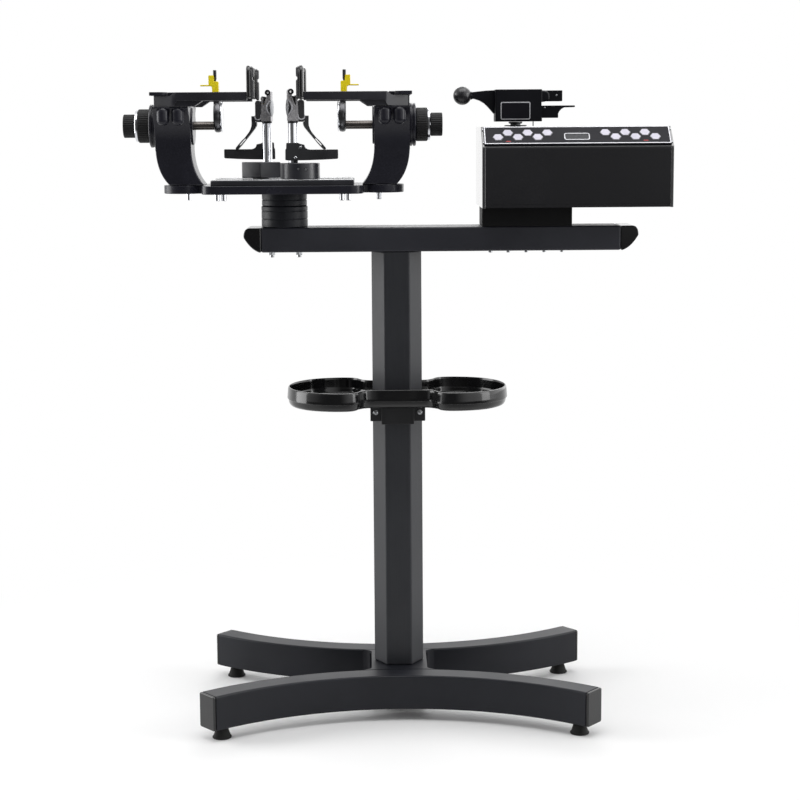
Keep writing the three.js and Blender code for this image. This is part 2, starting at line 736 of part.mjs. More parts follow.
// One arm with its pivot pin, upright pad and the notches in the pad's face.
function makeArm(name, side, innerEnd) {
  const bottom = towerHeight + runGap;
  const barBottom = bottom + armRootDepth;
  const top = barBottom + armThickness;
  const knuckleTop = bottom + armKnuckleHeight;
  const shoulder = armPivotOut - armShoulderInset;
  const outline = polygon([
    [-armPivotOut, bottom], [-armRootEnd, bottom], [armRootTaper - armRootEnd, barBottom],
    [-innerEnd, barBottom], [-innerEnd, top], [-shoulder, top],
    [knuckleTop - top - shoulder, knuckleTop], [-armPivotOut, knuckleTop],
  ]);
  const outerY = armInnerFaceY + armWidth;
  const slant = raise(polygon([
    [armSlantInset - armPivotOut, outerY], [-armPivotOut - armSlantReach, outerY - armSlantDepth],
    [-armPivotOut - armSlantReach, outerY + overrun], [armSlantInset - armPivotOut, outerY + overrun],
  ]), bottom - overrun, top + overrun);
  const bar = cut(alongY(outline, armInnerFaceY, outerY), slant);
  const knuckle = discZ(armKnuckleRadius, bottom, knuckleTop, smallSides).translate(-armPivotOut, armPivotY, 0);
  const pin = discZ(armPinRadius, towerHeight - armPinLength, bottom + overrun, smallSides)
    .translate(-armPivotOut, armPivotY, 0);
  const padOutline = new THREE.Shape();
  const middleY = armInnerFaceY + armWidth / 2;
  padOutline.moveTo(middleY - padWidth / 2, barBottom + padLift);
  padOutline.lineTo(middleY + padWidth / 2, barBottom + padLift);
  padOutline.lineTo(middleY + padWidth / 2, barBottom + padHeight - padWidth / 2);
  padOutline.absarc(middleY, barBottom + padHeight - padWidth / 2, padWidth / 2, 0, Math.PI, false);
  const pad = alongX(padOutline, -innerEnd - overrun, padThickness - innerEnd);
  const notch = discY(padNotchRadius, middleY - padWidth, middleY + padWidth, smallSides)
    .translate(padThickness - innerEnd, 0, barBottom + padHeight * padNotchHeightShare);
  const geometry = cut(join(bar, knuckle, pin, pad), notch);
  if (side < 0) {
    geometry.scale(1, -1, 1);
    geometry.index.array.reverse();
  }
  return piece(name, geometry, mattBlack, [0, 0, towerBottom]);
}

function makeSideKnob(name) {
  const inner = -towerOuter - flangeThickness - runGap;
  const outer = inner - sideKnobWidth;
  const solid = join(
    discX(sideKnobRadius, outer, inner),
    discX(knobRingRadius, outer - knobRingWidth, outer + overrun),
  );
  const bore = discX(sideKnobBoreRadius, outer - knobRingWidth - overrun, inner + overrun, smallSides);
  return piece(name, cut(solid, bore), mattBlack, [0, 0, screwAxis]);
}

function makeHeadKnob(name) {
  const ringFace = -towerOuter - flangeThickness - runGap - sideKnobWidth - knobRingWidth;
  const inner = ringFace - knobGap;
  const solid = join(
    discX(headKnobRadius, inner - headKnobWidth, inner),
    discX(headScrewRadius, inner - overrun, inner + headScrewLength, smallSides),
  );
  return piece(name, solid, mattBlack, [0, 0, screwAxis]);
}

// Disc-ended plate on a rod, with its stem reaching up between the side arms.
function makeHeadSupport(name, gap) {
  const armBottom = towerHeight + runGap + armRootDepth - screwAxisHeight;
  const armTop = armBottom + armThickness;
  const outer = gap - towerInner;
  const rodEnd = outer - rodLength;
  const rod = discX(rodRadius, rodEnd, outer + overrun);
  const inner = outer + supportThickness;
  const disc = discX(supportRimRadius, outer, inner - supportRimWidth)
    .translate(0, 0, armBottom - supportDrop);
  const rimRadius = supportRimRadius - supportRimWidth / 2;
  const face = discX(rimRadius, outer, inner)
    .translate(0, 0, armBottom - supportDrop);
  const stem = block(
    [outer, -supportStemHalf, 0], [inner - supportRimWidth, supportStemHalf, armTop + supportTop],
  );
  const bore = discX(rodBoreRadius, rodEnd - overrun, rodEnd + rodBoreLength, smallSides);
  const geometry = cut(join(rod, disc, face, stem), bore);
  return piece(name, geometry, castSilver, [0, 0, screwAxis]);
}

// Plastic rest for the racket's frame, screwed on top of the head support's stem.
function makeFrameRest(name, gap) {
  const outer = gap - towerInner - restOffset;
  const bottom = towerHeight + runGap + armRootDepth + armThickness + supportTop + seatGap;
  const body = block([outer, -restHalfY, 0], [outer + restWidth, restHalfY, restHeight]);
  const tab = block(
    [outer - restTabLength, -restHalfY, restTabLevel],
    [outer + overrun, restHalfY, restTabLevel + restTabHeight],
  );
  const screw = discZ(restScrewRadius, restHeight - overrun, restHeight + restScrewHeight, smallSides)
    .translate(outer + restWidth * restScrewShare, 0, 0);
  return piece(name, join(body, tab, screw), yellowPlastic, [0, 0, towerBottom + bottom]);
}

// Base of a clamp: round to one side, with two facets to the other, and a key
// below that runs in the rail's slot.
function makeClampBase(name) {
  const outline = new THREE.Shape();
  outline.absarc(0, 0, potRadius, Math.PI, 2 * Math.PI, false);
  outline.lineTo(0, potRadius * potApexShare);
  const pot = raise(outline, 0, potHeight, roundSides).translate(potOffset, 0, 0);
  const key = discZ(potKeyRadius, runGap - slotDepth, overrun, smallSides).translate(potOffset, 0, 0);
  const lugFront = -postRadius - runGap - lugThickness;
  const lug = block(
    [lockPivotX - lugHalf, lugFront, potHeight - overrun],
    [lockPivotX + lugHalf, lugFront + lugThickness, leverPivotHeight + lugHalf],
  );
  const socket = discZ(postRadius + runGap, potHeight - postSocketDepth, potHeight + overrun);
  const pinBore = discY(leverPinBoreRadius, lugFront - overrun, 0, smallSides)
    .translate(lockPivotX, 0, leverPivotHeight);
  return piece(name, cut(join(pot, key, lug), socket, pinBore), satinBlack, [0, 0, railTop + runGap]);
}

// Lock lever: a blade on a yoke that turns on a pin in the base's lug.
function makeClampLever(name) {
  const outline = polygon([
    [-leverYokeLeft, -leverNeckDrop], [leverNeckReach, -leverNeckDrop],
    [leverLength, -leverTipDrop], [leverLength, leverTipTop], [leverNeckReach, leverNeckTop],
    [leverBossReach, leverBossTop - leverBossDrop], [leverBossReach, leverBossTop],
    [leverYokeMiddle, leverYokeTop], [-leverYokeMiddle, leverYokeTop], [-leverYokeLeft, leverNeckTop],
  ]);
  const back = -postRadius - lugThickness - 2 * runGap;
  const plate = alongY(outline, back - leverYokeThickness, back);
  const blade = polygon([
    [leverNeckReach, -leverNeckDrop], [leverLength, -leverTipDrop],
    [leverLength, leverTipTop], [leverNeckReach, leverNeckTop],
  ]);
  const thick = alongY(blade, back - leverBladeWidth, back);
  const pin = discY(leverPinRadius, back - leverYokeThickness, back + lugThickness, smallSides)
    .translate(lockPivotX, 0, 0);
  const z = railTop + runGap + leverPivotHeight;
  return piece(name, join(plate, thick, pin), mattBlack, [0, 0, z]);
}

// Post and jaw head in one piece, drawn with the dial to -x and the cheek to +x.
function makeClampHead(name) {
  const post = discZ(postRadius, potHeight - postSocketDepth + runGap, jawBottom + overrun);
  const tipMiddle = jawHeight - jawTipRadius;
  const outline = new THREE.Shape();
  outline.moveTo(-jawHalfX, 0);
  outline.lineTo(jawHalfX, 0);
  outline.lineTo(jawHalfX, jawShoulder);
  outline.absarc(jawTipX, tipMiddle, jawTipRadius, 0, Math.PI, false);
  outline.lineTo(-jawHalfX, jawShoulder);
  const head = alongY(outline, -jawHalfY, jawHalfY, arcSteps / 2).translate(0, 0, jawBottom);
  const eye = discY(jawEyeRadius, -jawHalfY - overrun, jawHalfY + overrun, smallSides)
    .translate(jawTipX, 0, jawBottom + tipMiddle);
  const cheekOutline = roundedRectangle((cheekThickness + overrun) / 2, cheekHeight / 2, cheekRadius);
  const cheek = alongY(cheekOutline, -jawHalfY, jawHalfY, arcSteps / 2).translate(
    jawHalfX + (cheekThickness - overrun) / 2, 0, jawBottom + cheekBottom + cheekHeight / 2,
  );
  const dial = discX(dialRadius, -jawHalfX - dialThickness, overrun - jawHalfX)
    .translate(0, 0, jawBottom + dialHeight);
  return piece(name, cut(join(post, head, cheek, dial), eye), castSilver, [0, 0, railTop + runGap]);
}

function makeJawHandle(name) {
  const reach = handleTipX - handlePivotX;
  const [bendX, bendZ] = [reach * handleBendShares[0], -handleTipDrop * handleBendShares[1]];
  const [midX, midZ] = [reach * handleMidShares[0], -handleTipDrop * handleMidShares[1]];
  const outline = polygon([
    [-handleRootWidth / 2, 0],
    [-handleWebWidth, -handleTipDrop * handleWebShares[0]],
    [-handleWebWidth, -handleTipDrop * handleWebShares[1]],
    [bendX - handleRootWidth / 2, bendZ],
    [midX - handleMidWidth / 2, midZ],
    [reach - handleTipWidth, -handleTipDrop],
    [reach, -handleTipDrop],
    [midX + handleMidWidth / 2, midZ],
    [bendX + handleMidWidth / 2, bendZ],
    [handleRootWidth / 2, 0],
  ]);
  const blade = alongY(outline, -handleHalfY, handleHalfY);
  const knuckle = discY(handleKnuckleRadius, -handleHalfY, handleHalfY, smallSides);
  const z = railTop + runGap + jawBottom + handlePivotHeight;
  return piece(name, join(blade, knuckle), mattBlack, [handlePivotX, 0, z]);
}

function makePedestal() {
  const box = block([0, -pedestalHalfY, 0], [pedestalLength, pedestalHalfY, pedestalHeight]);
  const inside = block(
    [pedestalWall, pedestalWall - pedestalHalfY, -overrun],
    [pedestalLength - pedestalWall, pedestalHalfY - pedestalWall, pedestalHeight + overrun],
  );
  const place = [pedestalLeft, 0, beamTop + seatGap];
  return piece('pedestal', cut(box, inside), mattBlack, place);
}

// The control panel's slope runs from the housing's front up to its top.
const slopeRun = panelTopY - housingFront;
const slopeRise = housingHeight - panelFrontHeight;
const slopeLength = Math.hypot(slopeRun, slopeRise);
const slopeAngle = Math.atan2(slopeRise, slopeRun);

// The housing's section, set in by a wall: the slope's corners move along both faces.
function housingSection(wall) {
  const cornerLow = wall * Math.tan((Math.PI / 2 - slopeAngle) / 2);
  const cornerHigh = wall * Math.tan(slopeAngle / 2);
  return polygon([
    [housingFront + wall, wall],
    [housingBack - wall, wall],
    [housingBack - wall, housingHeight - wall],
    [panelTopY + cornerHigh, housingHeight - wall],
    [housingFront + wall, panelFrontHeight - cornerLow],
  ]);
}

function makeHousing() {
  const shell = alongX(housingSection(0), 0, housingLength);
  const inside = alongX(housingSection(housingWall), housingWall, housingLength - housingWall);
  const slotLeft = gripperX - neckHalfX - runGap - housingLeft;
  const slotRight = gripperX + gripperTravel + neckHalfX + runGap - housingLeft;
  const slot = block(
    [slotLeft, -neckHalfY - runGap, housingHeight - 2 * housingWall],
    [slotRight, neckHalfY + runGap, housingHeight + overrun],
  );
  const place = [housingLeft, 0, housingBottom];
  return piece('housing', cut(shell, inside, slot), satinBlack, place);
}

function keyPlaces() {
  const rows = [[leftKeysX, -1], [rightKeysX, 1]];
  return rows.flatMap(([startX, firstRow]) => Array.from({ length: keyRowLength }, (_, i) => {
    const row = i % 2 === 0 ? firstRow : -firstRow;
    return [startX + i * keyPitch, row * keyRowOffset];
  }));
}

// The panel lies on the slope: x as outside, y up the slope, z off its face.
function makePanel() {
  const halfY = slopeLength / 2 - panelMargin;
  const outline = polygon([
    [housingLeft + panelMargin, -halfY], [housingLeft + housingLength - panelMargin, -halfY],
    [housingLeft + housingLength - panelMargin, halfY], [housingLeft + panelMargin, halfY],
  ]);
  const holeRadius = keyWidth / 2 + keyClearance;
  outline.holes = keyPlaces().map(([x, y]) => polygon(
    hexagon(holeRadius).map(([cornerX, cornerY]) => [x + cornerX, y + cornerY]),
  ));
  const plate = raise(outline, 0, panelThickness);
  const recess = block(
    [displayX - displayWidth / 2, -displayDrop - displayHeight / 2, panelThickness - displayDepth],
    [displayX + displayWidth / 2, displayHeight / 2 - displayDrop, panelThickness + overrun],
  );
  return piece('control_panel', cut(plate, recess), glossBlack, [0, 0, seatGap]);
}

function makeKey(name, [x, y]) {
  return piece(name, raise(polygon(hexagon(keyWidth / 2)), 0, keyHeight), whitePlastic, [x, y, keyFloor]);
}

function makeMotor() {
  const can = discX(motorRadius, 0, motorLength);
  const flange = discX(motorFlangeRadius, -motorFlangeLength, overrun);
  const shaft = discX(motorShaftRadius, -motorFlangeLength - motorShaftLength, 0, smallSides);
  const foot = block(
    [-motorFlangeLength, -motorFootHalfY, -motorFlangeRadius - motorFootHeight],
    [motorLength, motorFootHalfY, -motorRadius / 2],
  );
  const z = housingBottom + housingWall + seatGap + motorFootHeight + motorFlangeRadius;
  const x = housingLeft + housingLength - motorEndGap - motorLength;
  return piece('drive_motor', join(can, flange, shaft, foot), castSilver, [x, 0, z]);
}

// From here on x is measured from the gripper's carriage and z from the housing's top.

const shoeTop = -housingWall - runGap;
const guideMiddle = shoeTop - guideDepth;

function makeGuide() {
  const left = housingLeft + housingWall + seatGap;
  const right = housingLeft + housingLength - housingWall - seatGap;
  const bar = block([left, -guideHalf, -guideHalf], [right, guideHalf, guideHalf]);
  return piece('guide_bar', bar, brightSteel, [0, 0, housingTop + guideMiddle]);
}

function makeCarriage() {
  const neck = block([-neckHalfX, -neckHalfY, shoeTop - overrun], [neckHalfX, neckHalfY, neckHeight]);
  const flange = block(
    [-neckFlangeHalfX, -neckFlangeHalfY, runGap],
    [neckFlangeHalfX, neckFlangeHalfY, runGap + neckFlangeHeight],
  );
  const shoe = block([-shoeHalfX, -shoeHalfY, shoeTop - shoeHeight], [shoeHalfX, shoeHalfY, shoeTop]);
  const fit = guideHalf + runGap;
  const guideHole = block(
    [-shoeHalfX - overrun, -fit, guideMiddle - fit], [shoeHalfX + overrun, fit, guideMiddle + fit],
  );
  return piece('gripper_carriage', cut(join(neck, flange, shoe), guideHole), castSilver);
}

function makeGripperBody() {
  const body = block(
    [-gripperLeft, -gripperHalfY, gripperBottom], [gripperRight, gripperHalfY, gripperBottom + gripperHeight],
  );
  const upperJaw = block(
    [gripperRight - jawRecess, -upperJawHalfY, upperJawBottom],
    [gripperRight + upperJawReach, upperJawHalfY, upperJawTop],
  );
  const jawWindow = block(
    [gripperRight - jawRecess, -jawWindowHalfY, lowerJawLow - runGap],
    [gripperRight + overrun, jawWindowHalfY, lowerJawHigh + jawTravel + runGap],
  );
  const leverSlot = block(
    [-gripperLeft - overrun, -leverHalfY - runGap, gripperBottom + leverSlotFloor],
    [leverSlotDepth - gripperLeft, leverHalfY + runGap, gripperBottom + gripperHeight + overrun],
  );
  const pinBore = discY(gripperPinBoreRadius, -gripperHalfY - overrun, gripperHalfY + overrun, smallSides)
    .translate(leverPivotX, 0, leverPivotZ);
  return piece('gripper_body', cut(join(body, upperJaw), jawWindow, leverSlot, pinBore), mattBlack);
}

function makeBallLever() {
  const outline = new THREE.Shape();
  outline.moveTo(leverPivotX, leverPivotZ + leverKnuckleRadius);
  outline.lineTo(-gripperLeft, leverRootHigh);
  outline.lineTo(ballX + ballRadius / 2, ballZ + ballNeckHalf);
  outline.lineTo(ballX + ballRadius / 2, ballZ - ballNeckHalf);
  outline.quadraticCurveTo(leverCurveX, leverPivotZ, -gripperLeft, leverRootLow);
  outline.lineTo(leverPivotX, leverPivotZ - leverKnuckleRadius);
  const blade = alongY(outline, -leverHalfY, leverHalfY);
  const knuckle = discY(leverKnuckleRadius, -leverHalfY, leverHalfY).translate(leverPivotX, 0, leverPivotZ);
  const pin = discY(gripperPinRadius, -gripperHalfY, gripperHalfY, smallSides)
    .translate(leverPivotX, 0, leverPivotZ);
  const ball = new THREE.SphereGeometry(ballRadius, smallSides, smallSides / 2).rotateX(Math.PI / 2)
    .translate(ballX, 0, ballZ);
  return piece('ball_lever', join(blade, knuckle, pin, ball), mattBlack);
}

function makeLowerJaw() {
  const inner = gripperRight - jawRecess + runGap;
  const outline = polygon([
    [inner, lowerJawLow], [gripperRight + lowerJawReach, lowerJawLow],
    [gripperRight + lowerJawReach, lowerJawHigh - 2 * tongueThickness],
    [gripperRight + lowerJawReach + 2 * tongueThickness, lowerJawHigh - tongueThickness],
    [gripperRight + lowerJawTongue, lowerJawHigh - tongueThickness],
    [gripperRight + lowerJawTongue, lowerJawHigh],
    [inner, lowerJawHigh],
  ]);
  return piece('lower_jaw', alongY(outline, -lowerJawHalfY, lowerJawHalfY), mattBlack);
}

// The whole machine.

const sides = [['front', -1], ['rear', 1]];

const stand = new THREE.Group();
stand.add(
  makeLeg('front_leg', -1),
  makeLeg('rear_leg', 1),
  makeHub(),
  makeColumn(),
  makeBeam(),
  makeBeamCap('left_beam_cap', -1),
  makeBeamCap('right_beam_cap', 1),
  makeTray(),
  makeCollar(),
  makeSpindle(),
  makePedestal(),
  makeHousing(),
  makeMotor(),
  makeGuide(),
);
for (const [end, x] of [['left', -footSpreadX], ['right', footSpreadX]]) {
  for (const [side, direction] of sides) {
    stand.add(makeFoot(`${side}_${end}_foot`, x, direction * footY));
  }
}

const panelGroup = new THREE.Group();
panelGroup.position.set(
  0, (housingFront + panelTopY) / 2, housingBottom + (panelFrontHeight + housingHeight) / 2,
);
panelGroup.rotation.x = slopeAngle;
panelGroup.add(makePanel(), ...keyPlaces().map((place, i) => makeKey(`key_${i + 1}`, place)));

const gripper = new THREE.Group();
gripper.position.set(gripperX, 0, housingTop);
gripper.add(makeCarriage(), makeGripperBody(), makeBallLever(), makeLowerJaw());

const turntable = new THREE.Group();
turntable.position.set(turntableX, 0, 0);
turntable.add(makeTurnHub(), makePlate(), makeRail());

// The right end's arms reach further in, and its head support is set further in.
for (const [end, turn, armEnd, gap] of [
  ['left', 0, leftArmInnerEnd, leftSupportGap], ['right', Math.PI, rightArmInnerEnd, rightSupportGap],
]) {
  const tower = new THREE.Group();
  tower.rotation.z = turn;
  const [near, far] = turn === 0 ? ['front', 'rear'] : ['rear', 'front'];
  tower.add(
    makeTower(`${end}_tower`),
    makeArm(`${end}_${near}_arm`, -1, armEnd),
    makeArm(`${end}_${far}_arm`, 1, armEnd),
    makeSideKnob(`${end}_side_knob`),
    makeHeadKnob(`${end}_head_knob`),
    makeHeadSupport(`${end}_head_support`, gap),
    makeFrameRest(`${end}_frame_rest`, gap),
  );
  turntable.add(tower);
}

for (const [side, x, turn] of [['front', frontClampX, 0], ['rear', rearClampX, Math.PI]]) {
  const clamp = new THREE.Group();
  clamp.position.set(x, turn === 0 ? -trackY : trackY, 0);
  clamp.rotation.z = turn;
  const head = new THREE.Group();
  head.rotation.z = turn === 0 ? clampHeadTurn : -clampHeadTurn;
  head.add(makeClampHead(`${side}_clamp_head`), makeJawHandle(`${side}_jaw_handle`));
  clamp.add(makeClampBase(`${side}_clamp_base`), makeClampLever(`${side}_clamp_lever`), head);
  turntable.add(clamp);
}

const machine = new THREE.Group();
machine.add(stand, panelGroup, gripper, turntable);

export default machine;
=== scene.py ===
import json
import math
import bpy
from mathutils import Matrix, Vector


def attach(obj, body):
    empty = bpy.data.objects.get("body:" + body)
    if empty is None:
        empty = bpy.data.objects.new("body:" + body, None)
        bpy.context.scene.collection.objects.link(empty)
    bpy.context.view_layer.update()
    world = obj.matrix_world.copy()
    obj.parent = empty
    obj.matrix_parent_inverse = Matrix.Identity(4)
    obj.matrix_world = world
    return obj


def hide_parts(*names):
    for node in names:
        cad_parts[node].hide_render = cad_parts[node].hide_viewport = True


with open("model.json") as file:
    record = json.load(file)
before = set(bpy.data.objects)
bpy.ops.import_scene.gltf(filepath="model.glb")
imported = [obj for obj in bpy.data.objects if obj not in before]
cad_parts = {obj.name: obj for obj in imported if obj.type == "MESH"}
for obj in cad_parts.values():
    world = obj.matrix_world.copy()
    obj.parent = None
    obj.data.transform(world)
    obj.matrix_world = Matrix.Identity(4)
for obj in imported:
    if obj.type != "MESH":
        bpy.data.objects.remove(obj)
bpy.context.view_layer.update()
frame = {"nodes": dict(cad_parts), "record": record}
mm = 0.001

# the photograph's viewing angle, for a square frame
cameraSetup = {
    "place": (-0.04722, -3.15847, 1.00471),
    "yaw": 0.0164,
    "pitch": 0.1465,
    "roll": -0.0066,
    "lens": 83.609,
    "sensor": 36,
}


def placeCamera():
    yaw, pitch, roll = cameraSetup["yaw"], cameraSetup["pitch"], cameraSetup["roll"]
    ahead = Vector((math.sin(yaw) * math.cos(pitch), math.cos(yaw) * math.cos(pitch), -math.sin(pitch)))
    right = Vector((math.cos(yaw), -math.sin(yaw), 0))
    up = right.cross(ahead)
    turnedRight = math.cos(roll) * right + math.sin(roll) * up
    turnedUp = math.cos(roll) * up - math.sin(roll) * right
    data = bpy.data.cameras.new("camera")
    data.sensor_width = cameraSetup["sensor"]
    data.lens = cameraSetup["lens"]
    data.clip_end = 60
    camera = bpy.data.objects.new("camera", data)
    bpy.context.scene.collection.objects.link(camera)
    axes = Matrix((turnedRight, turnedUp, -ahead)).transposed().to_4x4()
    camera.matrix_world = Matrix.Translation(cameraSetup["place"]) @ axes
    bpy.context.scene.camera = camera


# soft boxes of a white studio: place, what they face, width, height and watts
studioSetup = {
    "overhead": ((0.1, -0.4, 3.1), (0.0, 0.0, 0.6), 2.6, 1.8, 46),
    "left": ((-2.75, 0.35, 1.15), (0.0, 0.0, 0.8), 1.7, 2.2, 50),
    "right": ((2.8, -0.9, 1.4), (0.1, 0.0, 0.8), 1.2, 2.0, 26),
    "back": ((0.4, 2.8, 2.4), (0.0, 0.0, 0.7), 2.4, 1.4, 24),
}
worldLight = 0.42
white = (1, 1, 1, 1)
# black cloth round the camera, seen only in what shines: (from, to, dimmest, brightest) along y, and
# what the room adds towards the photographer's right
cloth = {"depth": (-0.9, -0.15, 0.1, 1), "edge": (0.03, 0.5, 0, 1.1)}
floorSetup = {"half": 12.0, "drop": -0.0002, "pale": 0.92, "rough": 0.7, "sheen": 0.2,
              "whiteFrom": (0.25, 1.15, 0, 1), "shine": (-1.8, -0.6, 0.1, 1)}


# a value carried from one range to another
def mapRange(nodes, links, source, limits, smooth=False):
    made = nodes.new("ShaderNodeMapRange")
    if smooth:
        made.interpolation_type = "SMOOTHSTEP"
    for label, value in zip(("From Min", "From Max", "To Min", "To Max"), limits):
        made.inputs[label].default_value = value
    links.new(source, made.inputs["Value"])
    return made.outputs["Result"]


# two values joined by one sum or comparison
def join(nodes, links, first, second, operation="ADD"):
    made = nodes.new("ShaderNodeMath")
    made.operation = operation
    links.new(first, made.inputs[0])
    links.new(second, made.inputs[1])
    return made.outputs[0]


# a white light source for the world or a surface, with a fixed or a linked strength
def glow(nodes, links, kind, strength):
    made = nodes.new("ShaderNode" + kind)
    made.inputs["Color"].default_value = white
    if isinstance(strength, (int, float)):
        made.inputs["Strength"].default_value = strength
    else:
        links.new(strength, made.inputs["Strength"])
    return made.outputs[0]


def mixed(nodes, links, share, first, second):
    made = nodes.new("ShaderNodeMixShader")
    for source, socket in zip((share, first, second), made.inputs):
        links.new(source, socket)
    return made.outputs[0]


# camera, glossy and transmission rays see the white background, the rest a dimmer one
def seenDirectly(nodes, links):
    path = nodes.new("ShaderNodeLightPath")
    shines = join(nodes, links, path.outputs["Is Camera Ray"], path.outputs["Is Glossy Ray"], "MAXIMUM")
    return join(nodes, links, shines, path.outputs["Is Transmission Ray"], "MAXIMUM")


def placeLamps():
    for name, (place, target, wide, high, power) in studioSetup.items():
        lamp = bpy.data.lights.new("lamp_" + name, "AREA")
        lamp.shape = "RECTANGLE"
        lamp.size, lamp.size_y, lamp.energy = wide, high, power
        holder = bpy.data.objects.new("lamp_" + name, lamp)
        bpy.context.scene.collection.objects.link(holder)
        holder.location = place
        holder.rotation_euler = (Vector(target) - Vector(place)).to_track_quat("-Z", "Y").to_euler()


def lightRoom():
    world = bpy.data.worlds.new("studio")
    bpy.context.scene.world = world
    world.use_nodes = True
    nodes, links = world.node_tree.nodes, world.node_tree.links
    room = nodes["Background"]
    room.inputs["Color"].default_value = white
    room.inputs["Strength"].default_value = worldLight
    plain = mixed(nodes, links, seenDirectly(nodes, links), room.outputs[0],
                  glow(nodes, links, "Background", 1))
    coords = nodes.new("ShaderNodeTexCoord")
    split = nodes.new("ShaderNodeSeparateXYZ")
    links.new(coords.outputs["Generated"], split.inputs[0])
    depth = mapRange(nodes, links, split.outputs["Y"], cloth["depth"], smooth=True)
    edge = mapRange(nodes, links, split.outputs["X"], cloth["edge"])
    dark = glow(nodes, links, "Background", join(nodes, links, depth, edge))
    path = nodes.new("ShaderNodeLightPath")
    last = mixed(nodes, links, path.outputs["Is Glossy Ray"], plain, dark)
    links.new(last, nodes["World Output"].inputs["Surface"])


# pale paper under the machine, which turns into the white background further out
def layFloor():
    bpy.ops.mesh.primitive_plane_add(size=2 * floorSetup["half"], location=(0, 0, floorSetup["drop"]))
    floor = bpy.context.object
    floor.name = "floor"
    finish = bpy.data.materials.new("floor_paper")
    finish.use_nodes = True
    nodes, links = finish.node_tree.nodes, finish.node_tree.links
    paper = nodes["Principled BSDF"]
    paper.inputs["Roughness"].default_value = floorSetup["rough"]
    paper.inputs["Specular IOR Level"].default_value = floorSetup["sheen"]
    paper.inputs["Base Color"].default_value = (*[floorSetup["pale"]] * 3, 1)
    coords = nodes.new("ShaderNodeTexCoord")
    distance = nodes.new("ShaderNodeVectorMath")
    distance.operation = "LENGTH"
    links.new(coords.outputs["Object"], distance.inputs[0])
    split = nodes.new("ShaderNodeSeparateXYZ")
    links.new(coords.outputs["Object"], split.inputs[0])
    # the floor in front of the machine is kept out of what shines towards the camera
    front = mapRange(nodes, links, split.outputs["Y"], floorSetup["shine"])
    path = nodes.new("ShaderNodeLightPath")
    seen = join(nodes, links, path.outputs["Is Camera Ray"], front, "MAXIMUM")
    dim, bright = glow(nodes, links, "Emission", worldLight), glow(nodes, links, "Emission", seen)
    far = mixed(nodes, links, seenDirectly(nodes, links), dim, bright)
    fade = mapRange(nodes, links, distance.outputs["Value"], floorSetup["whiteFrom"], smooth=True)
    links.new(mixed(nodes, links, fade, paper.outputs[0], far), nodes["Material Output"].inputs["Surface"])
    floor.data.materials.append(finish)


placeCamera()
placeLamps()
lightRoom()
layFloor()
bpy.context.scene.view_settings.view_transform = "Standard"
print("studio ready")

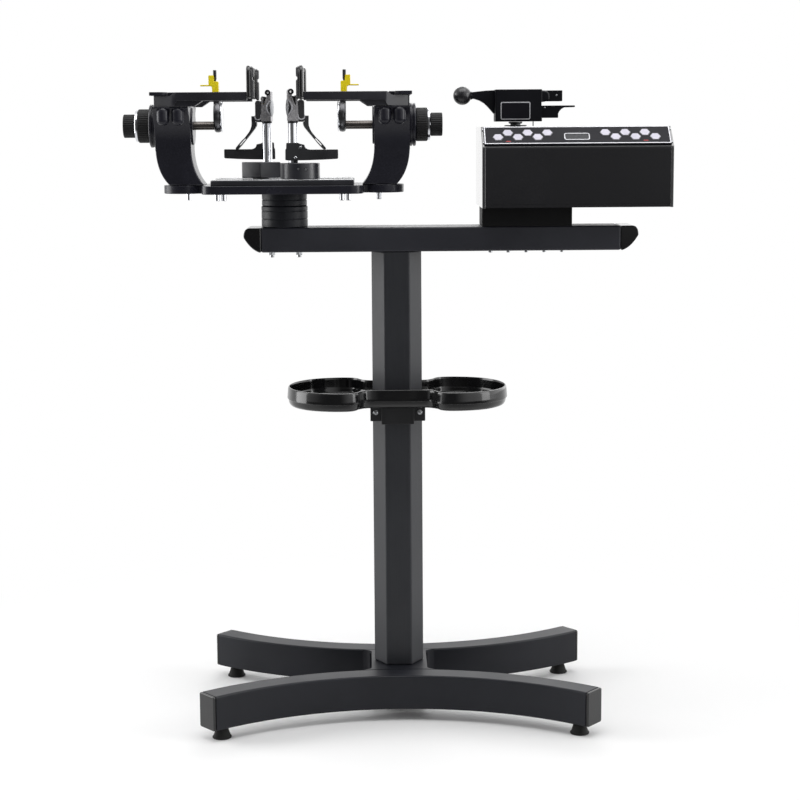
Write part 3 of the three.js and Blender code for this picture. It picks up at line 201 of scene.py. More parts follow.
# Finishes. Each reads Object coordinates: a fine grain for the bump, a broad cloud for
# roughness and colour. "stretch" makes the grain longer along one axis.
finishes = {
    "powderCoat": {"dark": (0.0085, 0.0092, 0.0125), "pale": (0.0135, 0.0145, 0.019), "gloss": (0.36, 0.5),
                   "grain": 1100, "bump": 0.16, "cloud": 9, "specular": 0.24},
    "beamCoat": {"dark": (0.0175, 0.0182, 0.0245), "pale": (0.026, 0.0272, 0.0355), "gloss": (0.36, 0.5),
                 "grain": 1100, "bump": 0.16, "cloud": 9, "specular": 0.42},
    "brushedCoat": {"dark": (0.012, 0.013, 0.0165), "pale": (0.021, 0.0225, 0.027), "gloss": (0.4, 0.56),
                    "grain": 900, "bump": 0.12, "cloud": 7, "specular": 0.4, "stretch": (1, 1, 0.02)},
    "boxPaint": {"dark": (0.0085, 0.0085, 0.0095), "pale": (0.0125, 0.0125, 0.014), "gloss": (0.34, 0.46),
                 "grain": 1500, "bump": 0.1, "cloud": 11, "specular": 0.4},
    "enamel": {"dark": (0.0135, 0.0135, 0.019), "pale": (0.021, 0.021, 0.03), "gloss": (0.2, 0.32),
               "grain": 260, "bump": 0.035, "cloud": 16, "specular": 0.26},
    "satinRail": {"dark": (0.042, 0.042, 0.049), "pale": (0.062, 0.062, 0.072), "gloss": (0.3, 0.42),
                  "metal": 0.7, "grain": 900, "bump": 0.08, "cloud": 24, "stretch": (0.02, 1, 1)},
    "mouldedGloss": {"dark": (0.004, 0.004, 0.0045), "pale": (0.0075, 0.0075, 0.008), "gloss": (0.08, 0.2),
                     "grain": 180, "bump": 0.03, "cloud": 13, "specular": 0.5},
    "mattePlastic": {"dark": (0.009, 0.009, 0.01), "pale": (0.017, 0.017, 0.018), "gloss": (0.48, 0.66),
                     "grain": 1900, "bump": 0.22, "cloud": 21, "specular": 0.35},
    "knobPlastic": {"dark": (0.006, 0.006, 0.0065), "pale": (0.011, 0.011, 0.0115), "gloss": (0.5, 0.66),
                    "grain": 1600, "bump": 0.14, "cloud": 30, "specular": 0.25},
    "sheetPaint": {"dark": (0.0075, 0.0075, 0.0088), "pale": (0.011, 0.011, 0.0132), "gloss": (0.2, 0.3),
                   "grain": 1500, "bump": 0.05, "cloud": 6, "specular": 0.45},
    "panelFace": {"dark": (0.0055, 0.0052, 0.0085), "pale": (0.0082, 0.0078, 0.0115), "gloss": (0.42, 0.52),
                  "grain": 1500, "bump": 0.05, "cloud": 30, "specular": 0.12},
    "sideGloss": {"dark": (0.02, 0.02, 0.022), "pale": (0.03, 0.03, 0.033), "gloss": (0.1, 0.16),
                  "grain": 1500, "bump": 0.02, "cloud": 6, "specular": 0.6, "coat": 1},
    "gripperPaint": {"dark": (0.0026, 0.0028, 0.0047), "pale": (0.0044, 0.0047, 0.0074),
                     "gloss": (0.28, 0.38), "grain": 1200, "bump": 0.08, "cloud": 20, "specular": 0.22},
    "deepBlack": {"dark": (0.0015, 0.0015, 0.0018), "pale": (0.003, 0.003, 0.0034), "gloss": (0.5, 0.64),
                  "grain": 1500, "bump": 0.1, "cloud": 20, "specular": 0.2},
    "ballPlastic": {"dark": (0.012, 0.012, 0.014), "pale": (0.018, 0.018, 0.021), "gloss": (0.24, 0.34),
                    "grain": 200, "bump": 0.02, "cloud": 40, "specular": 0.5},
    "darkSteel": {"dark": (0.05, 0.052, 0.056), "pale": (0.09, 0.092, 0.098), "gloss": (0.3, 0.42),
                  "metal": 0.9, "grain": 1000, "bump": 0.08, "cloud": 40},
    "potPaint": {"dark": (0.014, 0.0145, 0.019), "pale": (0.024, 0.025, 0.032), "gloss": (0.24, 0.36),
                 "grain": 1300, "bump": 0.08, "cloud": 18, "specular": 0.6},
    "leverPaint": {"dark": (0.017, 0.0175, 0.0195), "pale": (0.03, 0.031, 0.034), "gloss": (0.28, 0.42),
                   "grain": 1200, "bump": 0.12, "cloud": 20, "specular": 0.5},
    "armPaint": {"dark": (0.0135, 0.0135, 0.018), "pale": (0.022, 0.022, 0.029), "gloss": (0.26, 0.38),
                 "grain": 1300, "bump": 0.1, "cloud": 18, "specular": 0.5},
    "padRubber": {"dark": (0.018, 0.018, 0.02), "pale": (0.034, 0.034, 0.037), "gloss": (0.4, 0.55),
                  "grain": 1500, "bump": 0.2, "cloud": 25, "specular": 0.45},
    "supportGrey": {"dark": (0.06, 0.06, 0.064), "pale": (0.1, 0.1, 0.106), "gloss": (0.24, 0.36),
                    "metal": 0.8, "grain": 1100, "bump": 0.12, "cloud": 30},
    "supportRod": {"dark": (0.085, 0.077, 0.072), "pale": (0.13, 0.119, 0.112), "gloss": (0.26, 0.38),
                   "metal": 0.85, "grain": 900, "bump": 0.1, "cloud": 30, "stretch": (0.03, 1, 1)},
    "rubber": {"dark": (0.007, 0.007, 0.007), "pale": (0.015, 0.015, 0.014), "gloss": (0.66, 0.85),
               "grain": 1300, "bump": 0.3, "cloud": 30, "specular": 0.25},
    "mirrorAluminium": {"dark": (0.72, 0.73, 0.75), "pale": (0.86, 0.87, 0.88), "gloss": (0.1, 0.22),
                        "metal": 1, "grain": 700, "bump": 0.03, "cloud": 14, "stretch": (0.03, 1, 1)},
    "chrome": {"dark": (0.6, 0.61, 0.64), "pale": (0.74, 0.75, 0.78), "gloss": (0.05, 0.13),
               "metal": 1, "grain": 500, "bump": 0.015, "cloud": 40},
    "beadBlasted": {"dark": (0.26, 0.255, 0.265), "pale": (0.5, 0.49, 0.505), "gloss": (0.38, 0.55),
                    "metal": 1, "grain": 1700, "bump": 0.4, "cloud": 520},
    "brushedSteel": {"dark": (0.16, 0.165, 0.175), "pale": (0.27, 0.275, 0.29), "gloss": (0.26, 0.4),
                     "metal": 1, "grain": 900, "bump": 0.08, "cloud": 24, "stretch": (1, 1, 0.03)},
    "zincScrew": {"dark": (0.4, 0.41, 0.43), "pale": (0.62, 0.63, 0.64), "gloss": (0.2, 0.34),
                  "metal": 1, "grain": 900, "bump": 0.06, "cloud": 90},
    "blackScrew": {"dark": (0.02, 0.02, 0.022), "pale": (0.05, 0.05, 0.054), "gloss": (0.3, 0.42),
                   "metal": 0.8, "grain": 900, "bump": 0.08, "cloud": 90},
    "yellowPlastic": {"dark": (0.96, 0.74, 0.003), "pale": (1.0, 0.84, 0.006), "gloss": (0.32, 0.46),
                      "grain": 1200, "bump": 0.1, "cloud": 40, "specular": 0.45},
    "keyPlastic": {"dark": (0.5, 0.48, 0.57), "pale": (0.62, 0.6, 0.69), "gloss": (0.3, 0.42),
                   "grain": 1400, "bump": 0.05, "cloud": 60, "specular": 0.45},
    "silverLine": {"dark": (0.5, 0.5, 0.53), "pale": (0.66, 0.66, 0.69), "gloss": (0.3, 0.45),
                   "metal": 0.3, "grain": 1100, "bump": 0.04, "cloud": 60},
    "greyTrim": {"dark": (0.12, 0.12, 0.13), "pale": (0.18, 0.18, 0.19), "gloss": (0.35, 0.5),
                 "grain": 1100, "bump": 0.06, "cloud": 50, "specular": 0.4},
    "displayGlass": {"dark": (0.011, 0.012, 0.015), "pale": (0.019, 0.02, 0.025), "gloss": (0.2, 0.3),
                     "grain": 200, "bump": 0.01, "cloud": 60, "specular": 0.2},
    "redMark": {"dark": (0.5, 0.008, 0.006), "pale": (0.66, 0.02, 0.014), "gloss": (0.3, 0.4),
                "grain": 1100, "bump": 0.04, "cloud": 80, "specular": 0.45},
    "motorPaint": {"dark": (0.07, 0.07, 0.075), "pale": (0.12, 0.12, 0.125), "gloss": (0.45, 0.6),
                   "grain": 900, "bump": 0.2, "cloud": 20, "specular": 0.4},
}

# how the two noises become gloss and colour, the same for every finish
mixing = {"grainDetail": 3, "cloudDetail": 4, "grainShare": 0.2, "brushedShare": 0.45, "gloss": (0.3, 0.7),
          "tones": (0.32, 0.68), "bumpDepth": 0.0004, "coatGloss": 0.06}


def noise(nodes, links, scale, detail, coords):
    made = nodes.new("ShaderNodeTexNoise")
    made.inputs["Scale"].default_value = scale
    made.inputs["Detail"].default_value = detail
    links.new(coords, made.inputs["Vector"])
    return made.outputs["Fac"]


def mixFinish(name, look):
    finish = bpy.data.materials.new(name)
    finish.use_nodes = True
    nodes, links = finish.node_tree.nodes, finish.node_tree.links
    shader = nodes["Principled BSDF"]
    coords = nodes.new("ShaderNodeTexCoord").outputs["Object"]
    place = nodes.new("ShaderNodeMapping")
    place.inputs["Scale"].default_value = look.get("stretch", (1, 1, 1))
    links.new(coords, place.inputs["Vector"])
    grain = noise(nodes, links, look["grain"], mixing["grainDetail"], place.outputs["Vector"])
    cloud = noise(nodes, links, look["cloud"], mixing["cloudDetail"], coords)
    # the cloud is mixed with a little of the grain, so that brushed marks also show in the gloss
    blend = nodes.new("ShaderNodeMix")
    blend.inputs["Factor"].default_value = mixing["brushedShare" if "stretch" in look else "grainShare"]
    links.new(cloud, blend.inputs["A"])
    links.new(grain, blend.inputs["B"])
    rough = mapRange(nodes, links, blend.outputs["Result"], (*mixing["gloss"], *look["gloss"]))
    links.new(rough, shader.inputs["Roughness"])
    tones = nodes.new("ShaderNodeValToRGB")
    for stop, position, colour in zip(tones.color_ramp.elements, mixing["tones"],
                                      (look["dark"], look["pale"])):
        stop.position = position
        stop.color = (*colour, 1)
    links.new(blend.outputs["Result"], tones.inputs["Fac"])
    links.new(tones.outputs["Color"], shader.inputs["Base Color"])
    bump = nodes.new("ShaderNodeBump")
    bump.inputs["Strength"].default_value = look["bump"]
    bump.inputs["Distance"].default_value = mixing["bumpDepth"]
    links.new(grain, bump.inputs["Height"])
    links.new(bump.outputs["Normal"], shader.inputs["Normal"])
    shader.inputs["Metallic"].default_value = look.get("metal", 0)
    shader.inputs["Specular IOR Level"].default_value = look.get("specular", 0.5)
    if "coat" in look:
        shader.inputs["Coat Weight"].default_value = look["coat"]
        shader.inputs["Coat Roughness"].default_value = mixing["coatGloss"]
    return finish


material = {name: mixFinish(name, look) for name, look in finishes.items()}
print("finishes mixed:", len(material))


# Modelling helpers: every new piece starts from one of these primitives.
def clearSelection():
    if bpy.context.object and bpy.context.object.mode != "OBJECT":
        bpy.ops.object.mode_set(mode="OBJECT")
    bpy.ops.object.select_all(action="DESELECT")


def only(piece):
    clearSelection()
    piece.select_set(True)
    bpy.context.view_layer.objects.active = piece
    return piece


def settle(piece, name):
    piece.name = piece.data.name = name
    only(piece)
    bpy.ops.object.transform_apply(location=True, rotation=True, scale=True)
    return piece


# points moved across and up
def moved(points, across, up):
    return [(a + across, b + up) for a, b in points]


# a stretch of a turned piece's rim: a table of (inset from the radius, rise above the level)
def rim(radius, table, level):
    return [(radius - inset, level + rise) for inset, rise in table]


# a rim closed at both ends on the axis
def closedOnAxis(spots):
    return [(0, spots[0][1]), *spots, (0, spots[-1][1])]


# a block between two corners, in millimetres
def block(name, low, high):
    clearSelection()
    middle = [(a + b) / 2 * mm for a, b in zip(low, high)]
    size = [(b - a) * mm for a, b in zip(low, high)]
    bpy.ops.mesh.primitive_cube_add(size=1, location=middle, scale=size)
    return settle(bpy.context.object, name)


# a drum along one axis, between two places on it; at is the place on the two other axes, in order
def drum(name, radius, start, end, axis="z", at=(0, 0), sides=48):
    clearSelection()
    length = (end - start) * mm
    bpy.ops.mesh.primitive_cone_add(vertices=sides, radius1=radius * mm, radius2=radius * mm, depth=length)
    piece = bpy.context.object
    along = (start + end) / 2 * mm
    a, b = at[0] * mm, at[1] * mm
    if axis == "x":
        piece.rotation_euler = (0, math.pi / 2, 0)
        piece.location = (along, a, b)
    elif axis == "y":
        piece.rotation_euler = (-math.pi / 2, 0, 0)
        piece.location = (a, along, b)
    else:
        piece.location = (a, b, along)
    return settle(piece, name)


# a chain of points drawn by extruding one vertex along them
def drawChain(name, points):
    clearSelection()
    bpy.ops.mesh.primitive_plane_add(size=0.01)
    piece = bpy.context.object
    bpy.ops.object.mode_set(mode="EDIT")
    bpy.ops.mesh.select_all(action="SELECT")
    bpy.ops.mesh.merge(type="CENTER")
    here = Vector((0, 0, 0))
    for i, point in enumerate(points):
        there = Vector(point) * mm
        if i == 0:
            bpy.ops.transform.translate(value=there - here)
        else:
            bpy.ops.mesh.extrude_region_move(TRANSFORM_OT_translate={"value": there - here})
        here = there
    bpy.ops.object.mode_set(mode="OBJECT")
    piece.name = piece.data.name = name
    return piece


# an outline filled and drawn out along one axis; outline points are the two other axes in order
def outlineSolid(name, outline, start, end, axis="z"):
    spots = {
        "x": lambda p: (start, p[0], p[1]),
        "y": lambda p: (p[0], start, p[1]),
        "z": lambda p: (p[0], p[1], start),
    }
    reach = {"x": (1, 0, 0), "y": (0, 1, 0), "z": (0, 0, 1)}[axis]
    piece = drawChain(name, [spots[axis](p) for p in outline])
    only(piece)
    bpy.ops.object.mode_set(mode="EDIT")
    bpy.ops.mesh.select_all(action="SELECT")
    bpy.ops.mesh.edge_face_add()
    bpy.ops.mesh.extrude_region_move(TRANSFORM_OT_translate={"value": Vector(reach) * (end - start) * mm})
    bpy.ops.mesh.select_all(action="SELECT")
    bpy.ops.mesh.normals_make_consistent(inside=False)
    bpy.ops.object.mode_set(mode="OBJECT")
    return piece


# a profile of (radius, height) pairs spun about an axis through "at"
def turned(name, profile, axis="z", at=(0, 0), steps=64):
    spots = {
        "x": lambda r, h: (h, at[0] + r, at[1]),
        "y": lambda r, h: (at[0] + r, h, at[1]),
        "z": lambda r, h: (at[0] + r, at[1], h),
    }
    centre = {"x": (0, at[0], at[1]), "y": (at[0], 0, at[1]), "z": (at[0], at[1], 0)}[axis]
    line = {"x": (1, 0, 0), "y": (0, 1, 0), "z": (0, 0, 1)}[axis]
    piece = drawChain(name, [spots[axis](r, h) for r, h in profile])
    only(piece)
    bpy.ops.object.mode_set(mode="EDIT")
    bpy.ops.mesh.select_all(action="SELECT")
    bpy.ops.mesh.spin(steps=steps, angle=2 * math.pi, center=Vector(centre) * mm, axis=line)
    bpy.ops.mesh.select_all(action="SELECT")
    bpy.ops.mesh.remove_doubles(threshold=0.00002)
    bpy.ops.mesh.normals_make_consistent(inside=False)
    bpy.ops.object.mode_set(mode="OBJECT")
    return piece


def tidyMesh(piece):
    only(piece)
    bpy.ops.object.mode_set(mode="EDIT")
    bpy.ops.mesh.select_all(action="SELECT")
    bpy.ops.mesh.remove_doubles(threshold=0.00001)
    bpy.ops.mesh.normals_make_consistent(inside=False)
    bpy.ops.object.mode_set(mode="OBJECT")
    return piece


def roundEdges(piece, width, segments=3, angle=35):
    only(piece)
    bevel = piece.modifiers.new("rounded", "BEVEL")
    bevel.width = width * mm
    bevel.segments = segments
    bevel.limit_method = "ANGLE"
    bevel.angle_limit = math.radians(angle)
    bevel.harden_normals = False
    bevel.use_clamp_overlap = True
    bpy.ops.object.modifier_apply(modifier=bevel.name)
    return piece


def cutAway(piece, *cutters):
    for cutter in cutters:
        only(piece)
        away = piece.modifiers.new("cut", "BOOLEAN")
        away.operation = "DIFFERENCE"
        away.solver = "EXACT"
        away.object = cutter
        bpy.ops.object.modifier_apply(modifier=away.name)
        bpy.data.objects.remove(cutter)
    return piece


def fuse(piece, *others):
    for other in others:
        only(piece)
        added = piece.modifiers.new("fuse", "BOOLEAN")
        added.operation = "UNION"
        added.solver = "EXACT"
        added.object = other
        bpy.ops.object.modifier_apply(modifier=added.name)
        bpy.data.objects.remove(other)
    return piece


def joined(name, *parts):
    clearSelection()
    for part in parts:
        part.select_set(True)
    bpy.context.view_layer.objects.active = parts[0]
    bpy.ops.object.join()
    parts[0].name = parts[0].data.name = name
    return parts[0]


# a copy with its own mesh, moved and turned about the vertical through a centre
def copyOf(piece, name, move=(0, 0, 0), turn=0, centre=(0, 0), mirrorY=None):
    only(piece)
    bpy.ops.object.duplicate(linked=False)
    twin = bpy.context.object
    twin.name = twin.data.name = name
    middle = Matrix.Translation(Vector((centre[0], centre[1], 0)) * mm)
    place = Matrix.Translation(Vector(move) * mm) @ middle @ Matrix.Rotation(turn, 4,
                                                                             "Z") @ middle.inverted()
    if mirrorY is not None:
        level = Matrix.Translation(Vector((0, mirrorY, 0)) * mm)
        place = place @ level @ Matrix.Scale(-1, 4, Vector((0, 1, 0))) @ level.inverted()
    twin.data.transform(place)
    if mirrorY is not None:
        twin.data.flip_normals()
    return twin


# a clean copy of a CAD node: its triangles merged into flat faces again
def cadCopy(node, name):
    twin = frame["nodes"][node].copy()
    twin.data = frame["nodes"][node].data.copy()
    bpy.context.scene.collection.objects.link(twin)
    twin.parent = None
    twin.matrix_world = Matrix.Identity(4)
    for key in [k for k in twin.keys() if k.startswith("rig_")]:
        del twin[key]
    twin.data.materials.clear()
    twin.name = twin.data.name = name
    only(twin)
    bpy.ops.mesh.customdata_custom_splitnormals_clear()
    bpy.ops.object.mode_set(mode="EDIT")
    bpy.ops.mesh.select_all(action="SELECT")
    bpy.ops.mesh.remove_doubles(threshold=0.000004)
    bpy.ops.mesh.dissolve_limited(angle_limit=math.radians(0.6))
    bpy.ops.object.mode_set(mode="OBJECT")
    return twin


# the last step of each piece: smooth shading, finish, body, and hiding the CAD node it stands for
def finished(piece, body, finish, slot, *nodes, smooth=32):
    only(piece)
    piece.data.materials.clear()
    piece.data.materials.append(material[finish])
    for face in piece.data.polygons:
        face.material_index = 0
    bpy.ops.object.shade_smooth_by_angle(angle=math.radians(smooth))
    even = piece.modifiers.new("even", "WEIGHTED_NORMAL")
    even.keep_sharp = True
    even.weight = 80
    bpy.ops.object.modifier_apply(modifier=even.name)
    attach(piece, body)
    if nodes:
        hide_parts(*nodes)
    return piece


# a CAD node whose shape is right keeps it, in a better finish
def dress(node, finish):
    piece = frame["nodes"][node]
    piece.data.materials.clear()
    piece.data.materials.append(material[finish])


# Legs: a rectangular tube swept round its arc, with a plastic cap in each end.
leg = {
    "arcRadius": 510.5, "arcCentreY": 590.5, "width": 42, "bottom": 19.8, "top": 79.1,
    "halfAngle": 39, "capAngle": 0.62, "seam": 0.06, "steps": 72, "corner": 3.6, "capInset": 0.3,
}


def sweptTube(name, side, low, high, angleFrom, angleTo, steps, inset=0):
    clearSelection()
    middle = (low + high) / 2
    centreY = side * leg["arcCentreY"]
    radius = leg["arcRadius"]
    bpy.ops.mesh.primitive_plane_add(size=1, location=(0, (centreY - side * radius) * mm, middle * mm))
    section = bpy.context.object
    section.rotation_euler = (0, math.pi / 2, 0)
    section.scale = ((high - low - 2 * inset) * mm, (leg["width"] - 2 * inset) * mm, 1)
    settle(section, name)
    only(section)
    bpy.ops.object.mode_set(mode="EDIT")
    bpy.ops.mesh.select_all(action="SELECT")
    bpy.ops.mesh.bevel(offset=(leg["corner"] - inset) * mm, segments=6, affect="VERTICES")
    bpy.ops.object.mode_set(mode="OBJECT")
    section.data.transform(
        Matrix.Translation((0, centreY * mm, 0)) @ Matrix.Rotation(side * math.radians(angleFrom), 4, "Z")
        @ Matrix.Translation((0, -centreY * mm, 0))
    )
    only(section)
    bpy.ops.object.mode_set(mode="EDIT")
    bpy.ops.mesh.select_all(action="SELECT")
    turn = math.radians(angleTo - angleFrom) * side
    bpy.ops.mesh.spin(steps=steps, angle=-turn, center=(0, centreY * mm, 0), axis=(0, 0, 1))
    bpy.ops.mesh.select_all(action="SELECT")
    bpy.ops.mesh.remove_doubles(threshold=0.00002)
    bpy.ops.mesh.normals_make_consistent(inside=False)
    bpy.ops.object.mode_set(mode="OBJECT")
    return section


def makeLegs():
    for name, side in (("front_leg", -1), ("rear_leg", 1)):
        bodyEnd = leg["halfAngle"] - leg["capAngle"]
        tube = sweptTube(name + "_tube", side, leg["bottom"], leg["top"], -bodyEnd, bodyEnd, leg["steps"])
        roundEdges(tube, 0.7, 2, 60)
        finished(tube, "stand", "powderCoat", "frame_paint", name)
        for end, sign in (("left", 1), ("right", -1)):
            near, far = sorted((sign * (bodyEnd + leg["seam"]), sign * leg["halfAngle"]))
            cap = sweptTube(f"{name}_{end}_cap", side, leg["bottom"], leg["top"], near, far, 2,
                            leg["capInset"])
            roundEdges(cap, 1.6, 3, 60)
            finished(cap, "stand", "mouldedGloss", "black_plastic")


makeLegs()
print("legs made")


# Feet: rubber cones with a ribbed skirt, and a steel washer above.
foot = {
    "spreadX": 298, "spreadY": 176.02,
    "pad": ((0, 0), (13.2, 0), (13.9, 0.5), (14.2, 0), (15.4, 0), (16, 0.6), (16, 2.1), (15.6, 2.8),
            (14.7, 3.2),
            (12.9, 8), (11.6, 12), (10.4, 16.4), (9.9, 18.4), (9.2, 19.1), (7.8, 19.3), (0, 19.3)),
    "washer": ((0, 19.1), (8.6, 19.1), (8.9, 19.35), (8.6, 19.7), (0, 19.7)),
}


def makeFeet():
    at = (foot["spreadX"], foot["spreadY"])
    first = turned("foot_pad", foot["pad"], "z", at, 48)
    washer = turned("foot_washer", foot["washer"], "z", at, 36)
    for end, signX in (("left", -1), ("right", 1)):
        for side, signY in (("front", -1), ("rear", 1)):
            shift = ((signX - 1) * foot["spreadX"], (signY - 1) * foot["spreadY"], 0)
            pad = copyOf(first, f"{side}_{end}_pad", shift)
            finished(pad, "stand", "rubber", "foot_rubber", f"{side}_{end}_foot")
            ring = copyOf(washer, f"{side}_{end}_washer", shift)
            finished(ring, "stand", "zincScrew", "grey_steel")
    bpy.data.objects.remove(first)
    bpy.data.objects.remove(washer)


makeFeet()
print("feet made")


# Hub, column and beam.
column = {"radius": 43, "bottom": 79.2, "top": 795.7, "corner": 2.6, "gap": 0.4}
beam = {"tube": ((-227, -39, 795.8), (377, 39, 836.8)), "corner": 3.2}


def makeHub():
    hub = cadCopy("base_hub", "base_hub_casting")
    roundEdges(hub, 2.2, 3, 40)
    finished(hub, "stand", "powderCoat", "frame_paint", "base_hub")


def makeColumn():
    tube = drum("column_tube", column["radius"], column["bottom"], column["top"], "z", (0, 0), 6)
    tube.data.transform(Matrix.Rotation(math.radians(30), 4, "Z"))
    roundEdges(tube, column["corner"], 4, 35)
    finished(tube, "stand", "brushedCoat", "frame_paint", "column")


def makeBeam():
    tube = block("beam_tube", *beam["tube"])
    roundEdges(tube, beam["corner"], 4, 35)
    finished(tube, "stand", "beamCoat", "frame_paint", "beam")
    for end in ("left", "right"):
        cap = cadCopy(end + "_beam_cap", end + "_cap_moulding")
        roundEdges(cap, 2.4, 4, 30)
        finished(cap, "stand", "mouldedGloss", "black_plastic", end + "_beam_cap")


makeHub()
makeColumn()
makeBeam()
print("hub, column and beam made")


# Tool tray: two moulded cups on a waist, with a rolled band round the wall and a solid core at the column.
tray = {
    "bottom": 533.5, "height": 31.5, "halfX": 188.5, "halfY": 104.5, "coreX": 54, "coreDrop": 12,
    # a quarter of the outline as shares of the half sizes, from the middle of the front to the outer end
    "outline": [(0, -0.615), (0.1, -0.615), (0.2, -0.615), (0.272, -0.64), (0.32, -0.745), (0.35, -0.87),
                (0.405, -0.965), (0.49, -1), (0.6, -0.985), (0.72, -0.915), (0.84, -0.765), (0.94, -0.505),
                (0.987, -0.24), (1, 0)],
    # the wall as (inset, depth below the rim), from the fullest line up to the rim and down to the floor
    "wallUp": [(0, 19), (0.4, 14), (0.9, 8), (1.2, 4), (1.6, 1.8), (2.3, 0.6), (3.1, 0.1)],
    "wallDown": [(0, 19), (0.5, 19.8), (1.9, 20.3), (2.1, 21), (2.5, 25), (3.4, 28), (4.8, 30.2), (7, 31.4)],
    "inside": [(4.1, -3), (4.15, 0.6), (4.6, 1.7), (5, 4), (5.6, 17), (6.6, 18.6), (7.2, 20), (7.6, 23.5),
               (8.8, 26.2), (11.5, 28), (15, 28.6)],
}


# a closed smooth curve through a quarter outline and its three mirror images
def smoothLoop(quarter, halfX, halfY, steps):
    half = quarter + [(x, -y) for x, y in reversed(quarter[:-1])]
    points = half + [(-x, y) for x, y in reversed(half[1:-1])]
    count = len(points)
    loop = []
    for i in range(count):
        p0, p1, p2, p3 = (Vector(points[(i + k) % count]) for k in (-1, 0, 1, 2))
        for s in range(steps):
            t = s / steps
            spot = 0.5 * (2 * p1 + (p2 - p0) * t + (2 * p0 - 5 * p1 + 4 * p2 - p3) * t ** 2
                          + (3 * p1 - p0 - 3 * p2 + p3) * t ** 3)
            loop.append((spot.x * halfX, spot.y * halfY))
    return loop


# a shell drawn from a flat outline by insetting its face again and again, each time lower or higher
def insetShell(name, loop, top, rings, capped=False):
    first, depth = rings[0]
    piece = drawChain(name, [(x, y, top - depth) for x, y in loop])
    only(piece)
    bpy.ops.object.mode_set(mode="EDIT")
    bpy.ops.mesh.select_all(action="SELECT")
    bpy.ops.mesh.edge_face_add()
    bpy.ops.mesh.normals_make_consistent(inside=False)
    bpy.ops.object.mode_set(mode="OBJECT")
    up = 1 if piece.data.polygons[0].normal.z > 0 else -1
    bpy.ops.object.mode_set(mode="EDIT")
    if first > 0:
        bpy.ops.mesh.inset(thickness=first * mm, depth=0, use_even_offset=True)
        bpy.ops.mesh.select_all(action="INVERT")
        bpy.ops.mesh.delete(type="EDGE_FACE")
        bpy.ops.mesh.select_all(action="SELECT")
        bpy.ops.mesh.select_non_manifold()
    bpy.ops.mesh.select_all(action="DESELECT")
    bpy.ops.mesh.select_mode(type="FACE")
    bpy.ops.mesh.select_all(action="SELECT")
    inset, level = first, depth
    for nextInset, nextLevel in rings[1:]:
        bpy.ops.mesh.inset(
            thickness=(nextInset - inset) * mm, depth=up * (level - nextLevel) * mm, use_even_offset=True,
        )
        inset, level = nextInset, nextLevel
    bpy.ops.mesh.select_mode(type="VERT")
    if capped:
        bpy.ops.mesh.select_all(action="DESELECT")
        bpy.ops.mesh.select_non_manifold()
        bpy.ops.mesh.edge_face_add()
    bpy.ops.mesh.select_all(action="SELECT")
    bpy.ops.mesh.delete_loose()
    bpy.ops.mesh.select_all(action="SELECT")
    bpy.ops.mesh.normals_make_consistent(inside=False)
    bpy.ops.object.mode_set(mode="OBJECT")
    return piece


def makeTray():
    low, top = tray["bottom"], tray["bottom"] + tray["height"]
    loop = smoothLoop(tray["outline"], tray["halfX"], tray["halfY"], 5)
    rim = insetShell("tool_tray_rim", loop, top, tray["wallUp"])
    belly = insetShell("tool_tray_belly", loop, top, tray["wallDown"])
    body = tidyMesh(joined("tool_tray_moulding", rim, belly))
    hollow = insetShell("tray_hollow", loop, top, tray["inside"], capped=True)
    coreX, halfY = tray["coreX"], tray["halfY"]
    cutAway(hollow, block("tray_core", (-coreX, -halfY, low), (coreX, halfY, top - tray["coreDrop"])))
    roundEdges(hollow, 3, 3, 60)
    hole = drum("column_hole", column["radius"] + column["gap"], low - 5, top + 5, "z", (0, 0), 6)
    cutAway(body, hollow, hole)
    finished(body, "stand", "mouldedGloss", "black_plastic", "tool_tray", smooth=40)


makeTray()
print("tray made")


# Collar under the tray: a ring with two screws, and a flap that hangs lower across the front.
collar = {
    "ring": ((-46.6, -45, 508.9), (46.6, 45, 533.4)), "flap": ((-28, -49, 503.9), (28, -44.7, 533.4)),
    # how far the hole's and the grooves' cutters go past the ring
    "past": (5, 9),
    # grooves down the flap: place, half width and depth
    "groove": (23.5, 0.6, 0.9), "screwAt": (37.2, -44.9, 524.15), "socket": (1.3, -4, -1.8),
    "screw": ((0, -3.4), (1.9, -3.4), (2.6, -2.9), (2.7, -1), (4, -0.9), (4.4, -0.5), (4.4, 0), (0, 0)),
}


def makeCollar():
    ring = roundEdges(block("tray_collar_casting", *collar["ring"]), 1.4, 3, 40)
    low, high = collar["ring"][0][2], collar["ring"][1][2]
    past, groovePast = collar["past"]
    hole = drum("collar_hole", column["radius"] + column["gap"], low - past, high + past, "z", (0, 0), 6)
    cutAway(ring, hole)
    finished(ring, "stand", "boxPaint", "black_plastic", "tray_collar")
    flap = roundEdges(block("collar_flap", *collar["flap"]), 1.2, 3, 40)
    front, (place, half, depth) = collar["flap"][0][1], collar["groove"]
    for x in (-place, place):
        cutAway(flap, block("flap_line", (x - half, front - 2, low - groovePast),
                            (x + half, front + depth, high + groovePast)))
    finished(flap, "stand", "boxPaint", "black_plastic")
    screw = turned("collar_screw", collar["screw"], "y", (0, 0), 32)
    radius, start, end = collar["socket"]
    cutAway(screw, drum("collar_socket", radius, start, end, "y", (0, 0), 6))
    screw.data.transform(Matrix.Translation(Vector(collar["screwAt"]) * mm))
    other = copyOf(screw, "collar_left_screw", (-2 * collar["screwAt"][0], 0, 0))
    for twin in (screw, other):
        finished(twin, "stand", "zincScrew", "grey_steel")


makeCollar()
print("collar made")


